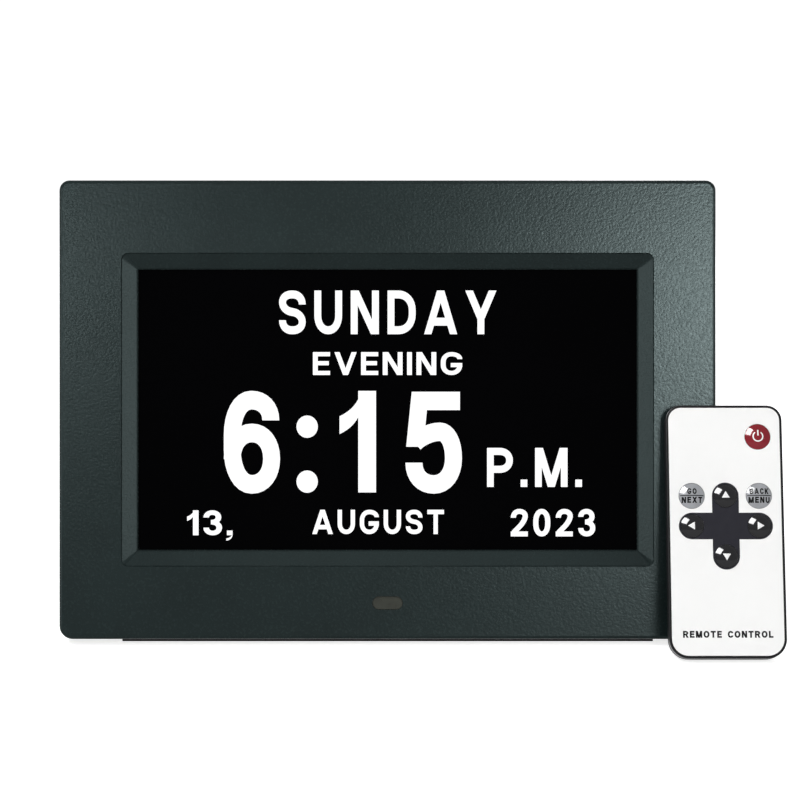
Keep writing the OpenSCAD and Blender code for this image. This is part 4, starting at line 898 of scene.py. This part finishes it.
centre = Vector((0, 0))
for key, heading in (("up", 90), ("left", 180), ("right", 0), ("down", 270)):
    legend(key, [arrowhead(centre, ARROW_SIZE, heading)], ARROW_KEY_RADIUS, white_ink)
legend("power", power_symbol(centre, POWER_SIZE), ROUND_KEY_RADIUS, white_ink)
SMALL_STROKE = 0.24          # small print is bolder, as a share of its height


def small_words(text, half, base, height):
    """Outlines of small print, centred, with half its width given."""
    return words(text, -half, half, base, height, SMALL_STROKE)


# The upper and the lower word, each with half its width in millimetres
PAIRS = {"enter": ("GO", 1.6, "NEXT", 3.5), "setup": ("BACK", 3.2, "MENU", 3.6)}
WORD_HEIGHT = 2.05 * MM
WORD_GAP = 0.45 * MM         # from the dividing line to the words
DIVIDER_HALF = 4 * MM
DIVIDER_WEIGHT = 0.32 * MM
for key, (upper, upper_half, lower, lower_half) in PAIRS.items():
    divider = [bar((-DIVIDER_HALF, 0), (DIVIDER_HALF, 0), DIVIDER_WEIGHT)]
    legend(key, small_words(upper, upper_half * MM, WORD_GAP, WORD_HEIGHT) + divider
           + small_words(lower, lower_half * MM, -WORD_GAP - WORD_HEIGHT, WORD_HEIGHT),
           ROUND_KEY_RADIUS, black_ink)
LABEL_HALF = 15.2 * MM       # half the label's width
LABEL_BASE = -36.2 * MM      # from the face's middle to the label's base
LABEL_HEIGHT = 2.3 * MM
label = printed("face_label", small_words("REMOTE CONTROL", LABEL_HALF, LABEL_BASE, LABEL_HEIGHT),
                INK, remote_plane, black_ink, "remote")

# ---- Pole mark of the coin cell ----
# A plus sign, stamped in the steel of the cell's wide pole. That pole faces the keys
# when the cell lies in its tray.
CELL_SIGN = 2.6 * MM         # half the length of each bar
CELL_SIGN_WEIGHT = 0.7 * MM
cell_plane = plane(face_point("remote_cell", remote_up, remote_out), RIGHT, remote_up)
sign = [bar((-CELL_SIGN, 0), (CELL_SIGN, 0), CELL_SIGN_WEIGHT),
        bar((0, -CELL_SIGN), (0, CELL_SIGN), CELL_SIGN_WEIGHT)]
stamp = surface("cell_stamp", tone(96, 97, 98), 0.5, 1800, 0.00001, Metallic=0.8)
cell_mark = printed("cell_mark", sign, INK, cell_plane, stamp, "battery_tray")

# ---- Back of the remote ----
# An arrow and three ribs, moulded in the case over the battery tray, show which way
# it pulls out.
PULL_ARROW_RISE = 9 * MM     # from the lower end of the case up to the arrow
PULL_ARROW_SIZE = 2.2 * MM
TRAY_RIBS = 3
RIB_RISE = 14 * MM           # from the lower end of the case up to the lowest rib
RIB_PITCH = 1.6 * MM
RIB_LENGTH = 10 * MM
RAISED = 0.2 * MM            # height of the arrow and of the ribs
remote_back = plane(face_point("remote_case", remote_up, -remote_out), -RIGHT, remote_up)
case_low, case_high = extent("remote_case", remote_up)
case_half = (case_high - case_low) / 2
pull_arrow = arrowhead(Vector((0, PULL_ARROW_RISE - case_half)), PULL_ARROW_SIZE, 270)
pull_mark = printed("tray_arrow", [pull_arrow], RAISED, remote_back, case_black, "remote")
ribs_at = remote_back @ Matrix.Translation((0, RIB_RISE - case_half, 0))
grown("tray_ribs", rows, ribs_at, "remote", "remote_black", Count=TRAY_RIBS, Pitch=RIB_PITCH,
      Length=RIB_LENGTH, Radius=RAISED, Finish=case_black)
